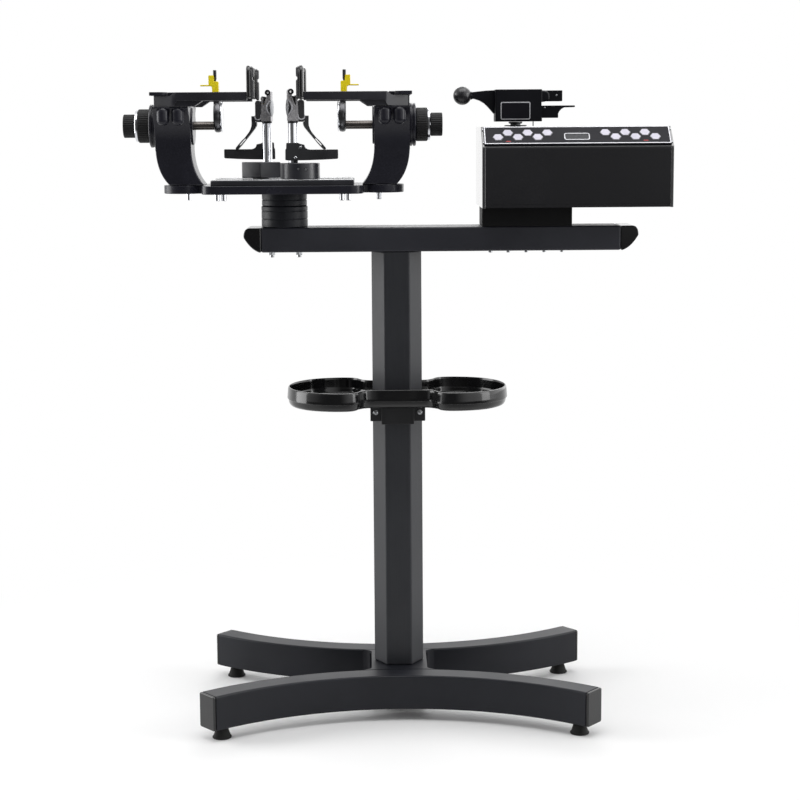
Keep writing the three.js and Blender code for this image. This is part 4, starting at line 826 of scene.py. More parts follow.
# Turntable: spindle base, hub, plate with its two ears, and the clamps' rail.
turntable = {
    "x": -188.5, "plateZ": (894.4, 908.4), "plateX": 134, "plateY": 84,
    "plateCorner": 22, "earX": 167, "earRadius": 35, "neckY": 24, "fillet": 9, "plateEdge": 3.6,
    "spindleRadius": 39, "spindleZ": (836.9, 872.3), "hubRadius": 38, "hubZ": (872.7, 894.3),
    # rims as (inset, rise) from the lower and from the upper end, each with a groove
    "spindleFoot": ((1.2, 0), (0, 1.2), (0, 13), (0.8, 13.5), (0.8, 14.4), (0, 14.9)),
    "spindleHead": ((0, -9), (0.7, -8.6), (0.7, -7.8), (0, -7.4), (0, -1), (1, 0)),
    "hubFoot": ((1, 0), (0, 1), (0, 9), (0.9, 9.5), (0.9, 10.5), (0, 11)),
    "hubHead": ((0, -1.6), (1.4, -0.1)),
}


def makeSpindle():
    for part, name, body, node in (("spindle", "spindle_base_casting", "stand", "spindle_base"),
                                   ("hub", "turntable_hub_casting", "turntable", "turntable_hub")):
        r, (low, high) = turntable[part + "Radius"], turntable[part + "Z"]
        spots = rim(r, turntable[part + "Foot"], low) + rim(r, turntable[part + "Head"], high)
        piece = turned(name, closedOnAxis(spots), "z", (turntable["x"], 0), 96)
        roundEdges(piece, 0.3, 2, 30)
        finished(piece, body, "powderCoat", "frame_paint", node)


def plateOutline():
    px, py, corner = turntable["plateX"], turntable["plateY"], turntable["plateCorner"]
    ear, radius, neck = turntable["earX"], turntable["earRadius"], turntable["neckY"]
    quarter = [(px - corner + corner * math.cos(a), py - corner + corner * math.sin(a))
               for a in [math.radians(90 - 7.5 * i) for i in range(13)]]
    quarter = [(0, py)] + quarter
    # a concave fillet leads from the plate's end to the ear
    fillet = turntable["fillet"]
    start = math.asin((neck + fillet) / (radius + fillet))
    middle = max(px + 1.5, ear - (radius + fillet) * math.cos(start))
    quarter += [(max(px, middle + fillet * math.cos(a)), neck + fillet + fillet * math.sin(a))
                for a in [math.radians(180 + 15 * i) for i in range(5)]]
    reach = math.asin(min(1, neck / radius))
    quarter += [(ear + radius * math.cos(a), radius * math.sin(a))
                for a in [math.pi - reach - (math.pi - reach) * i / 22 for i in range(23)]]
    quarter[-1] = (ear + radius, 0)
    half = quarter + [(x, -y) for x, y in reversed(quarter[:-1])]
    return half + [(-x, y) for x, y in reversed(half[1:-1])]


def makePlate():
    outline = moved(plateOutline(), turntable["x"], 0)
    plate = outlineSolid("turntable_plate_casting", outline, *turntable["plateZ"], "z")
    roundEdges(plate, turntable["plateEdge"], 4, 50)
    finished(plate, "turntable", "enamel", "gloss_paint", "turntable_plate")


# Rail: a bed with a middle channel and two slots, and bright strips on its top.
rail = {
    "halfX": 118, "halfY": 75, "low": 908.5, "high": 918.2, "strip": 1.6, "stripInset": 0.6, "seam": 0.1,
    "trackY": 42, "slotHalf": 5, "slotReach": 108, "floor": 912.2, "channelY": 25,
}


def makeRail():
    x, hx, hy = turntable["x"], rail["halfX"], rail["halfY"]
    low, high, floor, inset = rail["low"], rail["high"], rail["floor"], rail["stripInset"]
    bed = block("clamp_rail_bed", (x - hx, -hy, low), (x + hx, hy, high - rail["strip"]))
    stripLow = high - rail["strip"] + rail["seam"]
    strip = block("clamp_rail_strip", (x - hx + inset, -hy + inset, stripLow),
                  (x + hx - inset, hy - inset, high))
    for target, wider, edge in ((bed, 0, 0.9), (strip, inset, 0.5)):
        channel = rail["channelY"] + wider
        cutAway(target, block("rail_gap", (x - 2 * hx, -channel, floor),
                              (x + 2 * hx, channel, 2 * high - floor)))
        roundEdges(target, edge, 3, 50)
    half, reach = rail["slotHalf"], rail["slotReach"]
    for y in (-rail["trackY"], rail["trackY"]):
        for target in (bed, strip):
            slot = drum("slot_end", half, floor, high + 3, "z", (x - reach, y), 24)
            middle = block("slot_middle", (x - reach, y - half, floor), (x + reach, y + half, high + 3))
            end = drum("slot_other_end", half, floor, high + 3, "z", (x + reach, y), 24)
            cutAway(target, fuse(slot, middle, end))
    finished(bed, "turntable", "satinRail", "bright_aluminium", "clamp_rail")
    finished(strip, "turntable", "mirrorAluminium", "bright_aluminium")


makeSpindle()
makePlate()
makeRail()
print("turntable made")


# Towers: castings on the plate's ears. Places are measured outwards from the turntable's centre and up
# from the tower's foot, drawn for the left end, and turned half round for the right end.
tower = {
    "bottom": 908.5, "halfY": 33, "outer": 212, "inner": 152.5, "footOuter": 189.5, "footInner": 131.5,
    "belly": 66, "pull": 22, "height": 129.5, "bodyTop": 118, "edge": 7,
    # half of the flare's edge as the three points of a curve, (y, height)
    "flare": ((33, 57), (34.5, 101), (73, 127)),
    "bosses": (170, 194.5), "bossY": 65.5, "bossRadius": 10.5, "bossLow": 99, "bossEdge": 9,
    "capX": (176.5, 211.5), "capY": 44, "capLow": 120, "capTop": 153.5, "axis": 98.5, "bore": 7.6,
    # top plates that carry the arms' pivots: two webs each, as (far, near, reach to the side)
    "pivotX": 196.5, "pivotY": 63, "plateRadius": 10, "plateZ": (147.5, 153.4), "webFrom": 40,
    "webs": ((200.5, 186.5, 63), (215, 196.5, 77)),
}
screwAxis = tower["bottom"] + tower["axis"]


def outwards(*places):
    return [turntable["x"] - place for place in places]


def turnedRound(piece, name):
    return copyOf(piece, name, turn=math.pi, centre=(turntable["x"], 0))


# a curve from start to end that bends towards the middle point
def curve(start, bend, end, steps):
    points = []
    for i in range(steps + 1):
        t = i / steps
        points.append(tuple((1 - t) ** 2 * a + 2 * t * (1 - t) * b + t ** 2 * c for a, b,
                            c in zip(start, bend, end)))
    return points


# the tower's body, seen from the front
def towerOutline():
    base, top = tower["bottom"], tower["bottom"] + tower["bodyTop"]
    sides = []
    for foot, head in (("footInner", "inner"), ("footOuter", "outer")):
        start, end = outwards(tower[foot], tower[head])
        sides.append(curve((start, base), (end, base + tower["pull"]), (end, base + tower["belly"]), 12))
    inner, outer = outwards(tower["inner"], tower["outer"])
    return sides[0] + [(inner, top), (outer, top)] + sides[1][::-1]


def makeFlare():
    base = tower["bottom"]
    edge = moved(curve(*tower["flare"], 16), 0, base)
    edge.append((edge[-1][0], base + tower["height"]))
    loop = edge + [(-y, z) for y, z in reversed(edge)]
    flare = outlineSolid("tower_flare", loop, *outwards(tower["outer"], tower["inner"]), "x")
    return roundEdges(flare, 3.2, 4, 40)


def makeTowerPlates():
    low, high = (tower["bottom"] + level for level in tower["plateZ"])
    plates = []
    for side in (-1, 1):
        at = (*outwards(tower["pivotX"]), side * tower["pivotY"])
        plate = drum(f"tower_plate_{side + 1}", tower["plateRadius"], low + 0.05, high - 0.05, "z", at, 48)
        plates.append(roundEdges(plate, 0.6, 2, 60))
        for number, (far, near, reachY) in enumerate(tower["webs"]):
            xLow, xHigh = outwards(far, near)
            lowY, highY = sorted((side * tower["webFrom"], side * reachY))
            web = block(f"tower_plate_web_{number}", (xLow, lowY, low), (xHigh, highY, high))
            plates.append(roundEdges(web, 0.8, 2, 40))
    return plates


def makeTowers():
    base = tower["bottom"]
    body = outlineSolid("left_tower_casting", towerOutline(), -tower["halfY"], tower["halfY"], "y")
    roundEdges(body, tower["edge"], 6, 40)
    low, high = base + tower["bossLow"], base + tower["height"]
    bosses = []
    for number in range(4):
        side = 1 if number % 2 else -1
        at = (*outwards(tower["bosses"][number // 2]), side * tower["bossY"])
        boss = drum(f"tower_boss_{number}", tower["bossRadius"], low, high, "z", at, 64)
        bosses.append(roundEdges(boss, tower["bossEdge"], 7, 60))
    xLow, xHigh = outwards(*reversed(tower["capX"]))
    start, end = (xLow, -tower["capY"], base + tower["capLow"]), (xHigh, tower["capY"],
                                                                  base + tower["capTop"])
    cap = roundEdges(block("tower_cap", start, end), 2, 3, 40)
    fuse(body, makeFlare(), *bosses, cap, *makeTowerPlates())
    bore = drum("tower_bore", tower["bore"], *outwards(2 * tower["outer"], 0), "x", (0, screwAxis), 32)
    cutAway(body, bore)
    finished(body, "turntable", "enamel", "gloss_paint", "left_tower", smooth=40)
    finished(turnedRound(body, "right_tower_casting"), "turntable", "enamel", "gloss_paint", "right_tower",
             smooth=40)


# Flanges round the screw, as (radius, place): a stepped one outside and a plain one inside
flanges = {
    "outer": ((8, 208), (35, 211.9), (36, 212.9), (36, 215.6), (35.2, 216.4), (33.8, 216.5), (33.8, 217.4),
              (35.4, 217.6), (36, 218.4), (36, 221.2), (34.8, 222.4), (30, 222.5), (8, 222.5), (8, 208)),
    "inner": ((8, 156), (32, 155.5), (32, 150.4), (31.1, 149.5), (8, 149.5), (8, 156)),
}


def makeFlanges():
    for name, profile in flanges.items():
        spots = [(radius, *outwards(place)) for radius, place in profile]
        flange = turned(f"left_{name}_flange", spots, "x", (0, screwAxis), 96)
        for twin in (flange, turnedRound(flange, f"right_{name}_flange")):
            finished(twin, "turntable", "enamel", "gloss_paint", smooth=40)


makeTowers()
makeFlanges()
print("towers made")


# Side arms: bar, recessed root, and an upright pad with two soft lobes. Places are from the turntable's
# centre and the tower's foot, for a front arm of the left end.
arm = {
    "low": 129.9, "bar": 138.9, "top": 152.8, "knuckleTop": 146.8, "knuckle": 13, "innerY": 61, "outerY": 79,
    "leftEnd": 55.5, "rightEnd": 37, "recess": 3.4, "edge": 0.9, "slant": ((172, 79), (197, 65)),
    # the bar's shoulder down to the knuckle, and the undersides of the recessed root and of the face
    "shoulder": ((173, 152.8), (175.6, 151.8), (178.6, 149.2), (181, 147.4), (184, 146.8), (200, 146.8)),
    "rootUnder": ((200, 129.9), (141.5, 129.9), (128, 138.9)),
    "faceUnder": ((200, 129.9), (177, 129.9), (174.5, 130.9), (169.5, 138.9)),
    "fin": 7.1, "pad": 9.5, "lobe": 11.9, "padHalf": 14, "padMiddle": 70, "padTop": 195.8, "padLift": 3.6,
    "padShares": (0.88, 0.965), "lobes": ((141, 172.5), (176.5, 192.5)), "lobeHalf": 9.5,
}


def drawBar(end):
    base, x = tower["bottom"], turntable["x"]
    upper = ((end, arm["bar"]), (end, arm["top"]), *arm["shoulder"])
    behind, before = ([(x - v, base + z) for v, z in upper + arm[under]] for under in ("rootUnder",
                                                                                       "faceUnder"))
    faceY = -arm["outerY"] + arm["recess"]
    back = roundEdges(outlineSolid("arm_root", behind, faceY, -arm["innerY"], "y"), arm["edge"], 3, 30)
    face = roundEdges(outlineSolid("arm_face", before, -arm["outerY"], faceY + 2, "y"), arm["edge"], 3, 30)
    at = (x - tower["pivotX"], -tower["pivotY"])
    knuckle = drum("arm_knuckle", arm["knuckle"], base + arm["low"], base + arm["knuckleTop"], "z", at, 48)
    fuse(back, face, roundEdges(knuckle, arm["edge"], 2, 60))
    # the outer end is cut off aslant, so that it faces outwards and forwards
    (nearV, nearY), (farV, farY) = arm["slant"]
    slant = block("arm_slant", (-30, -40, base + 100), (30, 0, base + arm["top"] + 9))
    aslant = -math.atan2(nearY - farY, farV - nearV)
    centre = Vector((x - (nearV + farV) / 2, -(nearY + farY) / 2, 0)) * mm
    slant.data.transform(Matrix.Translation(centre) @ Matrix.Rotation(aslant, 4, "Z"))
    return cutAway(back, slant)


# one front arm of the left end, whose bar reaches in as far as "end"
def drawArm(end):
    base, x, middle, half = tower["bottom"], turntable["x"], -arm["padMiddle"], arm["padHalf"]
    finFace, padFace, lobeFace = (x - end + arm[key] for key in ("fin", "pad", "lobe"))
    low, top = base + arm["bar"] + arm["padLift"], base + arm["padTop"] - half
    turns = [math.pi * i / 24 for i in range(25)]
    plate = [(middle - half * math.cos(a), top + half * math.sin(a)) for a in turns]
    plate = [(middle - half + 1, low)] + plate + [(middle + half - 1, low)]
    fin = roundEdges(outlineSolid("arm_fin", plate, x - end - 0.4, finFace, "x"), 3.3, 5, 40)
    # the soft pad on its face, with two lobes
    across, up = arm["padShares"]
    shape = [(y * across + middle * (1 - across), low + (z - low) * up) for y, z in plate]
    pad = roundEdges(outlineSolid("arm_pad_sheet", shape, finFace - 1.2, padFace, "x"), 1.1, 3, 40)
    lobes = []
    for number, (start, stop) in enumerate(arm["lobes"]):
        near = (padFace - 3, middle - arm["lobeHalf"], base + start)
        lobe = block(f"arm_lobe_{number}", near, (lobeFace, middle + arm["lobeHalf"], base + stop))
        lobes.append(roundEdges(lobe, 2.6, 5, 40))
    return drawBar(end), fin, joined("arm_pad", pad, *lobes)


def makeArms():
    labels = ("root", "fin", "pad")
    arms = {"left_front": drawArm(arm["leftEnd"])}
    arms["left_rear"] = tuple(copyOf(p, f"left_rear_arm_{w}", mirrorY=0) for p,
                              w in zip(arms["left_front"], labels))
    longer = drawArm(arm["rightEnd"])
    other = tuple(copyOf(p, f"arm_{w}_turned", mirrorY=0) for p, w in zip(longer, labels))
    arms["right_rear"] = tuple(turnedRound(p, f"right_rear_arm_{w}") for p, w in zip(longer, labels))
    arms["right_front"] = tuple(turnedRound(p, f"right_front_arm_{w}") for p, w in zip(other, labels))
    for piece in longer + other:
        bpy.data.objects.remove(piece)
    for name, (root, fin, pad) in arms.items():
        for piece, label in zip((root, fin, pad), labels):
            piece.name = piece.data.name = f"{name}_arm_{label}"
        finished(root, f"{name}_side_arm", "armPaint", "satin_paint", f"{name}_arm", smooth=35)
        finished(fin, f"{name}_side_arm", "mouldedGloss", "satin_paint", smooth=40)
        finished(pad, f"{name}_side_arm", "padRubber", "matte_plastic", smooth=40)


makeArms()
print("side arms made")


# Knobs: fluted side knob with a chrome ring, and the head knob outside it. Places are (radius, distance
# outwards from the turntable's centre).
knobs = {
    "sideRadius": 28, "side": (222.9, 242), "sideFlutes": 44, "bore": 8.4,
    "headRadius": 19.5, "head": (247.3, 267.2), "headFlutes": 32, "fluteDepth": 0.55,
    "ring": ((8.5, 242.1), (25.8, 242.1), (26.4, 242.7), (26.4, 245.7), (25.6, 246.5), (8.5, 246.5),
             (8.5, 242.1)),
    "dish": ((0, 266), (11, 266), (13.5, 270.2), (0, 270.2)),
    "cap": ((0, 265.2), (4.4, 265.2), (4.4, 266.5), (3.8, 267), (0, 267)),
    "screw": ((0, 248.3), (3.9, 248.3), (3.9, 175), (2.9, 174), (0, 174)),
}


# the outline of a fluted wheel about the screw's axis
def flutedOutline(radius, flutes, steps=6):
    points = []
    for i in range(flutes * steps):
        angle = 2 * math.pi * i / (flutes * steps)
        wave = (1 + math.cos(angle * flutes)) / 2
        r = radius - knobs["fluteDepth"] * wave ** 2
        points.append((r * math.cos(angle), screwAxis + r * math.sin(angle)))
    return points


# a piece turned about the screw's axis, from its table of (radius, distance outwards)
def onScrew(name, table, steps, height=screwAxis):
    return turned(name, [(radius, *outwards(place)) for radius, place in table], "x", (0, height), steps)


def makeKnobs():
    outline = flutedOutline(knobs["sideRadius"], knobs["sideFlutes"])
    side = roundEdges(outlineSolid("left_side_knob_wheel", outline, *outwards(*knobs["side"]), "x"), 1.6, 3,
                      60)
    cutAway(side, drum("knob_bore", knobs["bore"], *outwards(knobs["head"][1], tower["outer"]), "x",
                       (0, screwAxis), 32))
    outline = flutedOutline(knobs["headRadius"], knobs["headFlutes"])
    head = roundEdges(outlineSolid("left_head_knob_wheel", outline, *outwards(*knobs["head"]), "x"), 2, 4,
                      60)
    cutAway(head, onScrew("knob_dish", knobs["dish"], 48))
    parts = [
        (side, "side_knob_wheel", "side_wheel", "knobPlastic", "matte_plastic", "side_knob"),
        (onScrew("left_side_knob_ring", knobs["ring"], 96), "side_knob_ring", "side_wheel", "chrome",
         "bright_aluminium", None),
        (head, "head_knob_wheel", "head_wheel", "knobPlastic", "matte_plastic", "head_knob"),
        (onScrew("left_head_knob_cap", knobs["cap"], 32), "head_knob_cap", "head_wheel", "zincScrew",
         "grey_steel", None),
        (onScrew("left_head_screw", knobs["screw"], 32), "head_screw", "head_wheel", "brushedSteel",
         "grey_steel", None),
    ]
    for piece, name, body, finish, slot, node in parts:
        for end, twin in (("left", piece), ("right", turnedRound(piece, f"right_{name}"))):
            finished(twin, f"{end}_{body}", finish, slot, *([f"{end}_{node}"] if node else []), smooth=35)


makeKnobs()
print("knobs made")


# Head supports: rod through the tower, rounded plate with a bright rim, and the yellow frame rest.
# Places are (radius or y, distance outwards from the turntable's centre).
support = {
    "rod": ((4.7, 209.4), (6.2, 209.4), (7, 208.6), (7, 114.5), (0, 114.5), (0, 136), (4.7, 137),
            (4.7, 209.4)),
    "plateZ": 1021.4, "plate": ((0, 115.5), (21.5, 115.5), (24.4, 114.3), (25.7, 112.1), (25.9, 108.5),
                                (24.8, 105.1),
                                (23, 104.1), (0, 104.1)),
    "stem": (115.5, 105.5), "stemHalf": 12, "top": 1062,
    "rim": ((0, 104.3), (22, 104.3), (22, 103.3), (25.3, 103.3), (25.9, 102.6), (24.8, 101.7), (21, 100.9),
            (0, 100.5)),
    "rightShift": 10,
}


# the right end's copy, which is set further in
def furtherIn(piece, name):
    other = turnedRound(piece, name)
    other.data.transform(Matrix.Translation((-support["rightShift"] * mm, 0, 0)))
    return other


def bothEnds(piece, name, finish, slot, node, smooth):
    for end, twin in (("left", piece), ("right", furtherIn(piece, f"right_{name}"))):
        finished(twin, f"{end}_support", finish, slot, *([f"{end}_{node}"] if node else []), smooth=smooth)


def makeSupports():
    z, half = support["plateZ"], support["stemHalf"]
    bothEnds(onScrew("left_head_support_rod", support["rod"], 40), "head_support_rod", "supportRod",
             "grey_steel",
             "head_support", 40)
    plate = onScrew("left_head_support_plate", support["plate"], 80, z)
    xLow, xHigh = outwards(*support["stem"])
    stem = block("support_stem", (xLow, -half, z), (xHigh, half, support["top"]))
    fuse(plate, roundEdges(stem, 1.8, 3, 40))
    bothEnds(plate, "head_support_plate", "supportGrey", "grey_steel", None, 40)
    edge = onScrew("left_head_support_rim", support["rim"], 80, z)
    bothEnds(edge, "head_support_rim", "chrome", "grey_steel", None, 40)


# Frame rest: a stepped block, seen from the side as (distance outwards, height), with its foot below the
# screw and its horn towards the tower.
frameRest = {
    "low": 1062.1, "halfY": 9, "screwX": 113.2, "tab": ((137.4, -8, 10.2), (120.4, 8, 12.4)),
    "outline": ((107.1, 0), (107.1, 17), (108.1, 18), (114.3, 18), (114.7, 27.4), (115.5, 28), (122.6, 28),
                (123.4, 27.2), (123.4, 13), (117.8, 8.4), (117.5, 0)),
    "screw": ((0, 16), (2.2, 16), (2.2, 21), (2.9, 21.6), (2.9, 36), (2.2, 36.8), (1.3, 36.8), (1.3, 35),
              (0, 35)),
}


def makeRests():
    x, low, half = turntable["x"], frameRest["low"], frameRest["halfY"]
    outline = [(x - v, low + z) for v, z in frameRest["outline"]]
    rest = roundEdges(outlineSolid("left_frame_rest_moulding", outline, -half, half, "y"), 0.8, 3, 30)
    start, end = ((x - v, y, low + z) for v, y, z in frameRest["tab"])
    fuse(rest, roundEdges(block("rest_tab", start, end), 0.5, 2, 40))
    bothEnds(rest, "frame_rest_moulding", "yellowPlastic", "yellow_plastic", "frame_rest", 35)
    profile = moved(frameRest["screw"], 0, low)
    screw = turned("left_frame_rest_screw", profile, "z", (x - frameRest["screwX"], 0), 28)
    bothEnds(screw, "frame_rest_screw", "blackScrew", "matte_plastic", None, 35)


makeSupports()
makeRests()
print("head supports made")


# String clamps, drawn about the post's axis with the dial to the left, then set in place. Places are
# (x, y, turn of the base, turn of the head); heights are from the rail, the head's from its lower face.
clamp = {"front": (-170.9, -42, 0, 9.5), "rear": (-218, 42, 180, 170.5), "base": 918.5, "head": 95.3}


def setInPlace(parts):
    for piece, name, body, finish, slot, node, angle in parts:
        for side in ("front", "rear"):
            x, y, *turns = clamp[side]
            twin = piece if side == "rear" else copyOf(piece, f"front_{name}")
            twin.name = twin.data.name = f"{side}_{name}"
            place = Matrix.Translation(Vector((x, y, clamp["base"])) * mm)
            turn = math.radians(turns[1 if body in ("head", "handle") else 0])
            twin.data.transform(place @ Matrix.Rotation(turn, 4, "Z"))
            finished(twin, f"{side}_{body}", finish, slot, *([f"{side}_{node}"] if node else []),
                     smooth=angle)


# Base: a half-round pot with a key in the rail's slot, a socket for the post and a lug for the lever.
clampBase = {
    "radius": 33, "x": 11.2, "apex": 28.4, "height": 26.6, "edge": 1.4,
    "keyRadius": 4.4, "key": (-5.6, 2), "socket": 8.4, "socketFloor": 6.6,
    "lug": ((1, 24.6), (1, 38), (2, 40.1), (4.5, 41), (7, 40.1), (8, 38), (8, 24.6)), "lugY": (-13.2, -8.4),
    # sunk screws as (x, height, radius), and their faces as (share of the radius, growth, depth)
    "screws": ((9.5, 17.2, 1.7), (21.5, 16.2, 2.2)), "screwHole": (0.7, 4, 3),
    "screwFace": ((0, 0, 3.2), (1, 0.6, 3.2), (1, 0.6, 1.7), (1, 0, 1.1), (0.55, 0, 1.1), (0.5, 0, 2.2),
                  (0, 0, 2.2)),
}


def makeClampBases():
    r, x, high = clampBase["radius"], clampBase["x"], clampBase["height"]
    outline = [(x - r * math.cos(math.pi * i / 40), -r * math.sin(math.pi * i / 40)) for i in range(41)]
    outline.append((x, clampBase["apex"]))
    pot = outlineSolid("clamp_base_pot", outline, 0, high, "z")
    roundEdges(pot, clampBase["edge"], 4, 40)
    key = drum("clamp_key", clampBase["keyRadius"], *clampBase["key"], "z", (x, 0), 32)
    lug = outlineSolid("clamp_lug", clampBase["lug"], *clampBase["lugY"], "y")
    fuse(pot, key, lug)
    cutAway(pot, drum("clamp_socket", clampBase["socket"], clampBase["socketFloor"], 2 * high, "z", (0, 0),
                      48))
    screws = []
    wider, out, deep = clampBase["screwHole"]
    for number, (at, level, radius) in enumerate(clampBase["screws"]):
        face = -math.sqrt(r * r - (at - x) ** 2)
        cutAway(pot, drum("screw_hole", radius + wider, face - out, face + deep, "y", (at, level), 28))
        profile = [(radius * share + growth, face + depth) for share, growth,
                   depth in clampBase["screwFace"]]
        screws.append(turned(f"pot_screw_{number}", profile, "y", (at, level), 24))
    return [(pot, "clamp_base_pot", "clamp_slider", "potPaint", "frame_paint", "clamp_base", 35),
            (joined("pot_screws", *screws), "pot_screws", "clamp_slider", "zincScrew", "grey_steel", None,
             35)]


# Lock lever: a thick yoke at the pin and a blade that thins outwards. Heights are from the pin.
clampLever = {
    "pivot": (4.5, 35.5), "back": -13.6, "yokeFace": -18.6, "bladeFace": -26.6, "edge": 2.2,
    "outline": ((-12.5, -4), (-6, -5), (24, -4.6), (50, -3.8), (73.5, -2.5), (75, -1.2), (75, 12), (74, 13),
                (50, 12.9), (28, 13), (24.6, 13.7), (21.4, 15.6), (20, 18), (19.6, 20.6), (18.4, 21.2),
                (12, 22.6),
                (8.6, 24.2), (-9.4, 24.2), (-10.6, 22.9), (-10.9, 15), (-12.3, 12.6)),
    # the hollow in front of the yoke sweeps from the tip towards the yoke
    "tip": 75, "sweep": 53, "room": (-20, 80, 4), "roomZ": (-12, 30), "screw": (13, 16.6),
    "pinFace": ((0, -0.9), (1.7, -0.9), (2.3, -0.4)), "pinEnd": (2.3, -8.5),
    "screwFace": ((0, 0.4), (2.4, 0.4), (2.4, -0.7), (1.7, -1.5), (0.8, -1.5), (0.7, -0.7), (0, -0.7)),
}


def makeLevers():
    px, pz = clampLever["pivot"]
    front, face = clampLever["yokeFace"], clampLever["bladeFace"]
    lever = outlineSolid("clamp_lever_casting", moved(clampLever["outline"], 0, pz), face,
                         clampLever["back"], "y")
    shares = [i / 10 for i in range(11)]
    sweep = [(clampLever["tip"] - clampLever["sweep"] * s,
              front + (face - front) * (1 - s) ** 2) for s in shares]
    start, end, out = clampLever["room"]
    hollow = [(start, face - out), (end, face - out), (end, face - 1)] + sweep + [(start, front)]
    cutAway(lever, outlineSolid("yoke_face", hollow, *[pz + z for z in clampLever["roomZ"]], "z"))
    roundEdges(lever, clampLever["edge"], 4, 34)
    radius, end = clampLever["pinEnd"]
    profile = moved(clampLever["pinFace"], 0, front) + [(radius, end), (0, end)]
    pin = turned("lever_pin", profile, "y", (px, pz), 28)
    x, z = clampLever["screw"]
    screw = turned("lever_screw", moved(clampLever["screwFace"], 0, front), "y", (x, pz + z), 28)
    return [(lever, "clamp_lever_casting", "lock", "leverPaint", "matte_plastic", "clamp_lever", 35),
            (joined("lever_pins", pin, screw), "lever_pins", "lock", "zincScrew", "grey_steel", None, 35)]


# Jaw head on its post. Heights are from the casting's lower face.
clampHead = {
    "postLow": 7, "postRadius": 8, "postFoot": ((1, 0), (0, 1)), "postTop": ((0, -3.6), (0.5, -3.1)),
    "ring": ((-0.3, -3.4), (-0.5, -3), (-0.5, -0.4), (-0.2, 0)),
    "halfY": 8, "eye": (-3.5, 48), "eyeRadius": 5, "eyeHole": 3.1,
    "casting": ((-8.5, 0), (8.5, 0), (8.4, 22), (7.6, 31), (7.4, 33.5), (8.9, 36.5), (8.7, 39.5), (6.6, 42),
                (3.4, 41.8),
                (1, 43.5)), "shoulder": (-8.5, 38),
    "mouth": ((3.4, 26), (4.6, 26), (3.6, 42), (1.6, 46), (-1.6, 44), (-1.8, 41.5)),
    # a near-black fill just inside the jaws' slit: painted shade of the gap
    "slitShade": ((3.3, 25.9), (4.7, 25.9), (3.6, 40.4), (-1.8, 41.3)), "slitShadeHalf": 7.3,
    # half of the eyelet's flange as (radius, distance from the middle)
    "eyelet": ((1.9, 8.4), (4.4, 8.4), (4.9, 7.9), (4.9, 7.2), (3.05, 7)),
    "dialZ": 22.5, "dialTrim": (8.8, 20, 5),
    "dialCone": ((0, -8.7), (14.4, -8.7), (14.4, -8.3), (7.4, -1.6), (0, -1.6)),
    # a bright shell a little wider than the cone, of which only a thin rim shows: a painted highlight of the
    # cone's edge
    "dialHighlightShell": ((0, -8.1), (15.8, -8.1), (8.6, -0.8), (0, -0.8)),
    "dialFace": ((0, -10.7), (6.5, -10.7), (7.5, -10.2), (12.6, -9.6), (14, -9), (14.4, -8.6), (0, -8.6)),
    "pad": ((8.7, 3.2), (18.9, 35), 4.6, 8), "cup": ((7.5, 1.9), (20, 13), 5.6, 7.6),
    "bracket": ((7.6, -1.4), (17.4, -1.4), (18.6, 0.4), (21, 2), (21, 9), (7.6, 9)), "bracketHalf": 5,
}


# a plate with round corners in the x-z plane
def roundedPlate(name, low, high, corner, half):
    base, outline = clamp["head"], []
    right, left = high[0] - corner, low[0] + corner
    top, bottom = base + high[1] - corner, base + low[1] + corner
    for number, (cx, cz) in enumerate(((right, top), (left, top), (left, bottom), (right, bottom))):
        for i in range(7):
            angle = math.radians(90 * number + 15 * i)
            outline.append((cx + corner * math.cos(angle), cz + corner * math.sin(angle)))
    return outlineSolid(name, outline, -half, half, "y")


def makePosts():
    base, r, low = clamp["head"], clampHead["postRadius"], clampHead["postLow"]
    foot, top = rim(r, clampHead["postFoot"], low), rim(r, clampHead["postTop"], base)
    post = turned("clamp_post", closedOnAxis(foot + top), "z", (0, 0), 64)
    ring = turned("clamp_ring", closedOnAxis(rim(r, clampHead["ring"], base)), "z", (0, 0), 64)
    return [(post, "clamp_post", "head", "chrome", "bright_aluminium", None, 35),
            (ring, "clamp_ring", "head", "blackScrew", "matte_plastic", None, 35)]


# casting with the jaws' slit and the eye at its tip, a near-black fill in the slit as painted shade, and the
# eyelet
def makeHeads():
    base, half = clamp["head"], clampHead["halfY"]
    (eyeX, eyeZ), radius = clampHead["eye"], clampHead["eyeRadius"]
    turns = [math.radians(a) for a in range(-10, 191, 10)]
    tip = [(eyeX + radius * math.cos(a), eyeZ + radius * math.sin(a)) for a in turns]
    outline = [*clampHead["casting"], *tip, clampHead["shoulder"]]
    head = outlineSolid("clamp_head_casting", moved(outline, 0, base), -half, half, "y")
    slit = outlineSolid("jaw_slit", moved(clampHead["mouth"], 0, base), -half - 1, half + 1, "y")
    eye = drum("eye_hole", clampHead["eyeHole"], -half - 1, half + 1, "y", (eyeX, base + eyeZ), 32)
    cutAway(head, slit, eye)
    roundEdges(head, 0.7, 2, 40)
    flange = clampHead["eyelet"]
    ends = [(r, -y) for r, y in flange] + list(reversed(flange)) + [(flange[0][0], -flange[0][1])]
    eyelet = turned("clamp_eyelet", ends, "y", (eyeX, base + eyeZ), 36)
    # the slit is filled in near-black, set back slightly from the faces: painted shade of the gap between the
    # jaws
    half = clampHead["slitShadeHalf"]
    slitShade = outlineSolid("clamp_slit_painted_shade", moved(clampHead["slitShade"], 0, base), -half, half, "y")
    return [
        (head, "clamp_head_casting", "head", "beadBlasted", "clamp_steel", "clamp_head", 35),
        (slitShade, "clamp_slit_painted_shade", "head", "deepBlack", "matte_plastic", None, 35),
        (eyelet, "clamp_eyelet", "head", "blackScrew", "matte_plastic", None, 35),
    ]
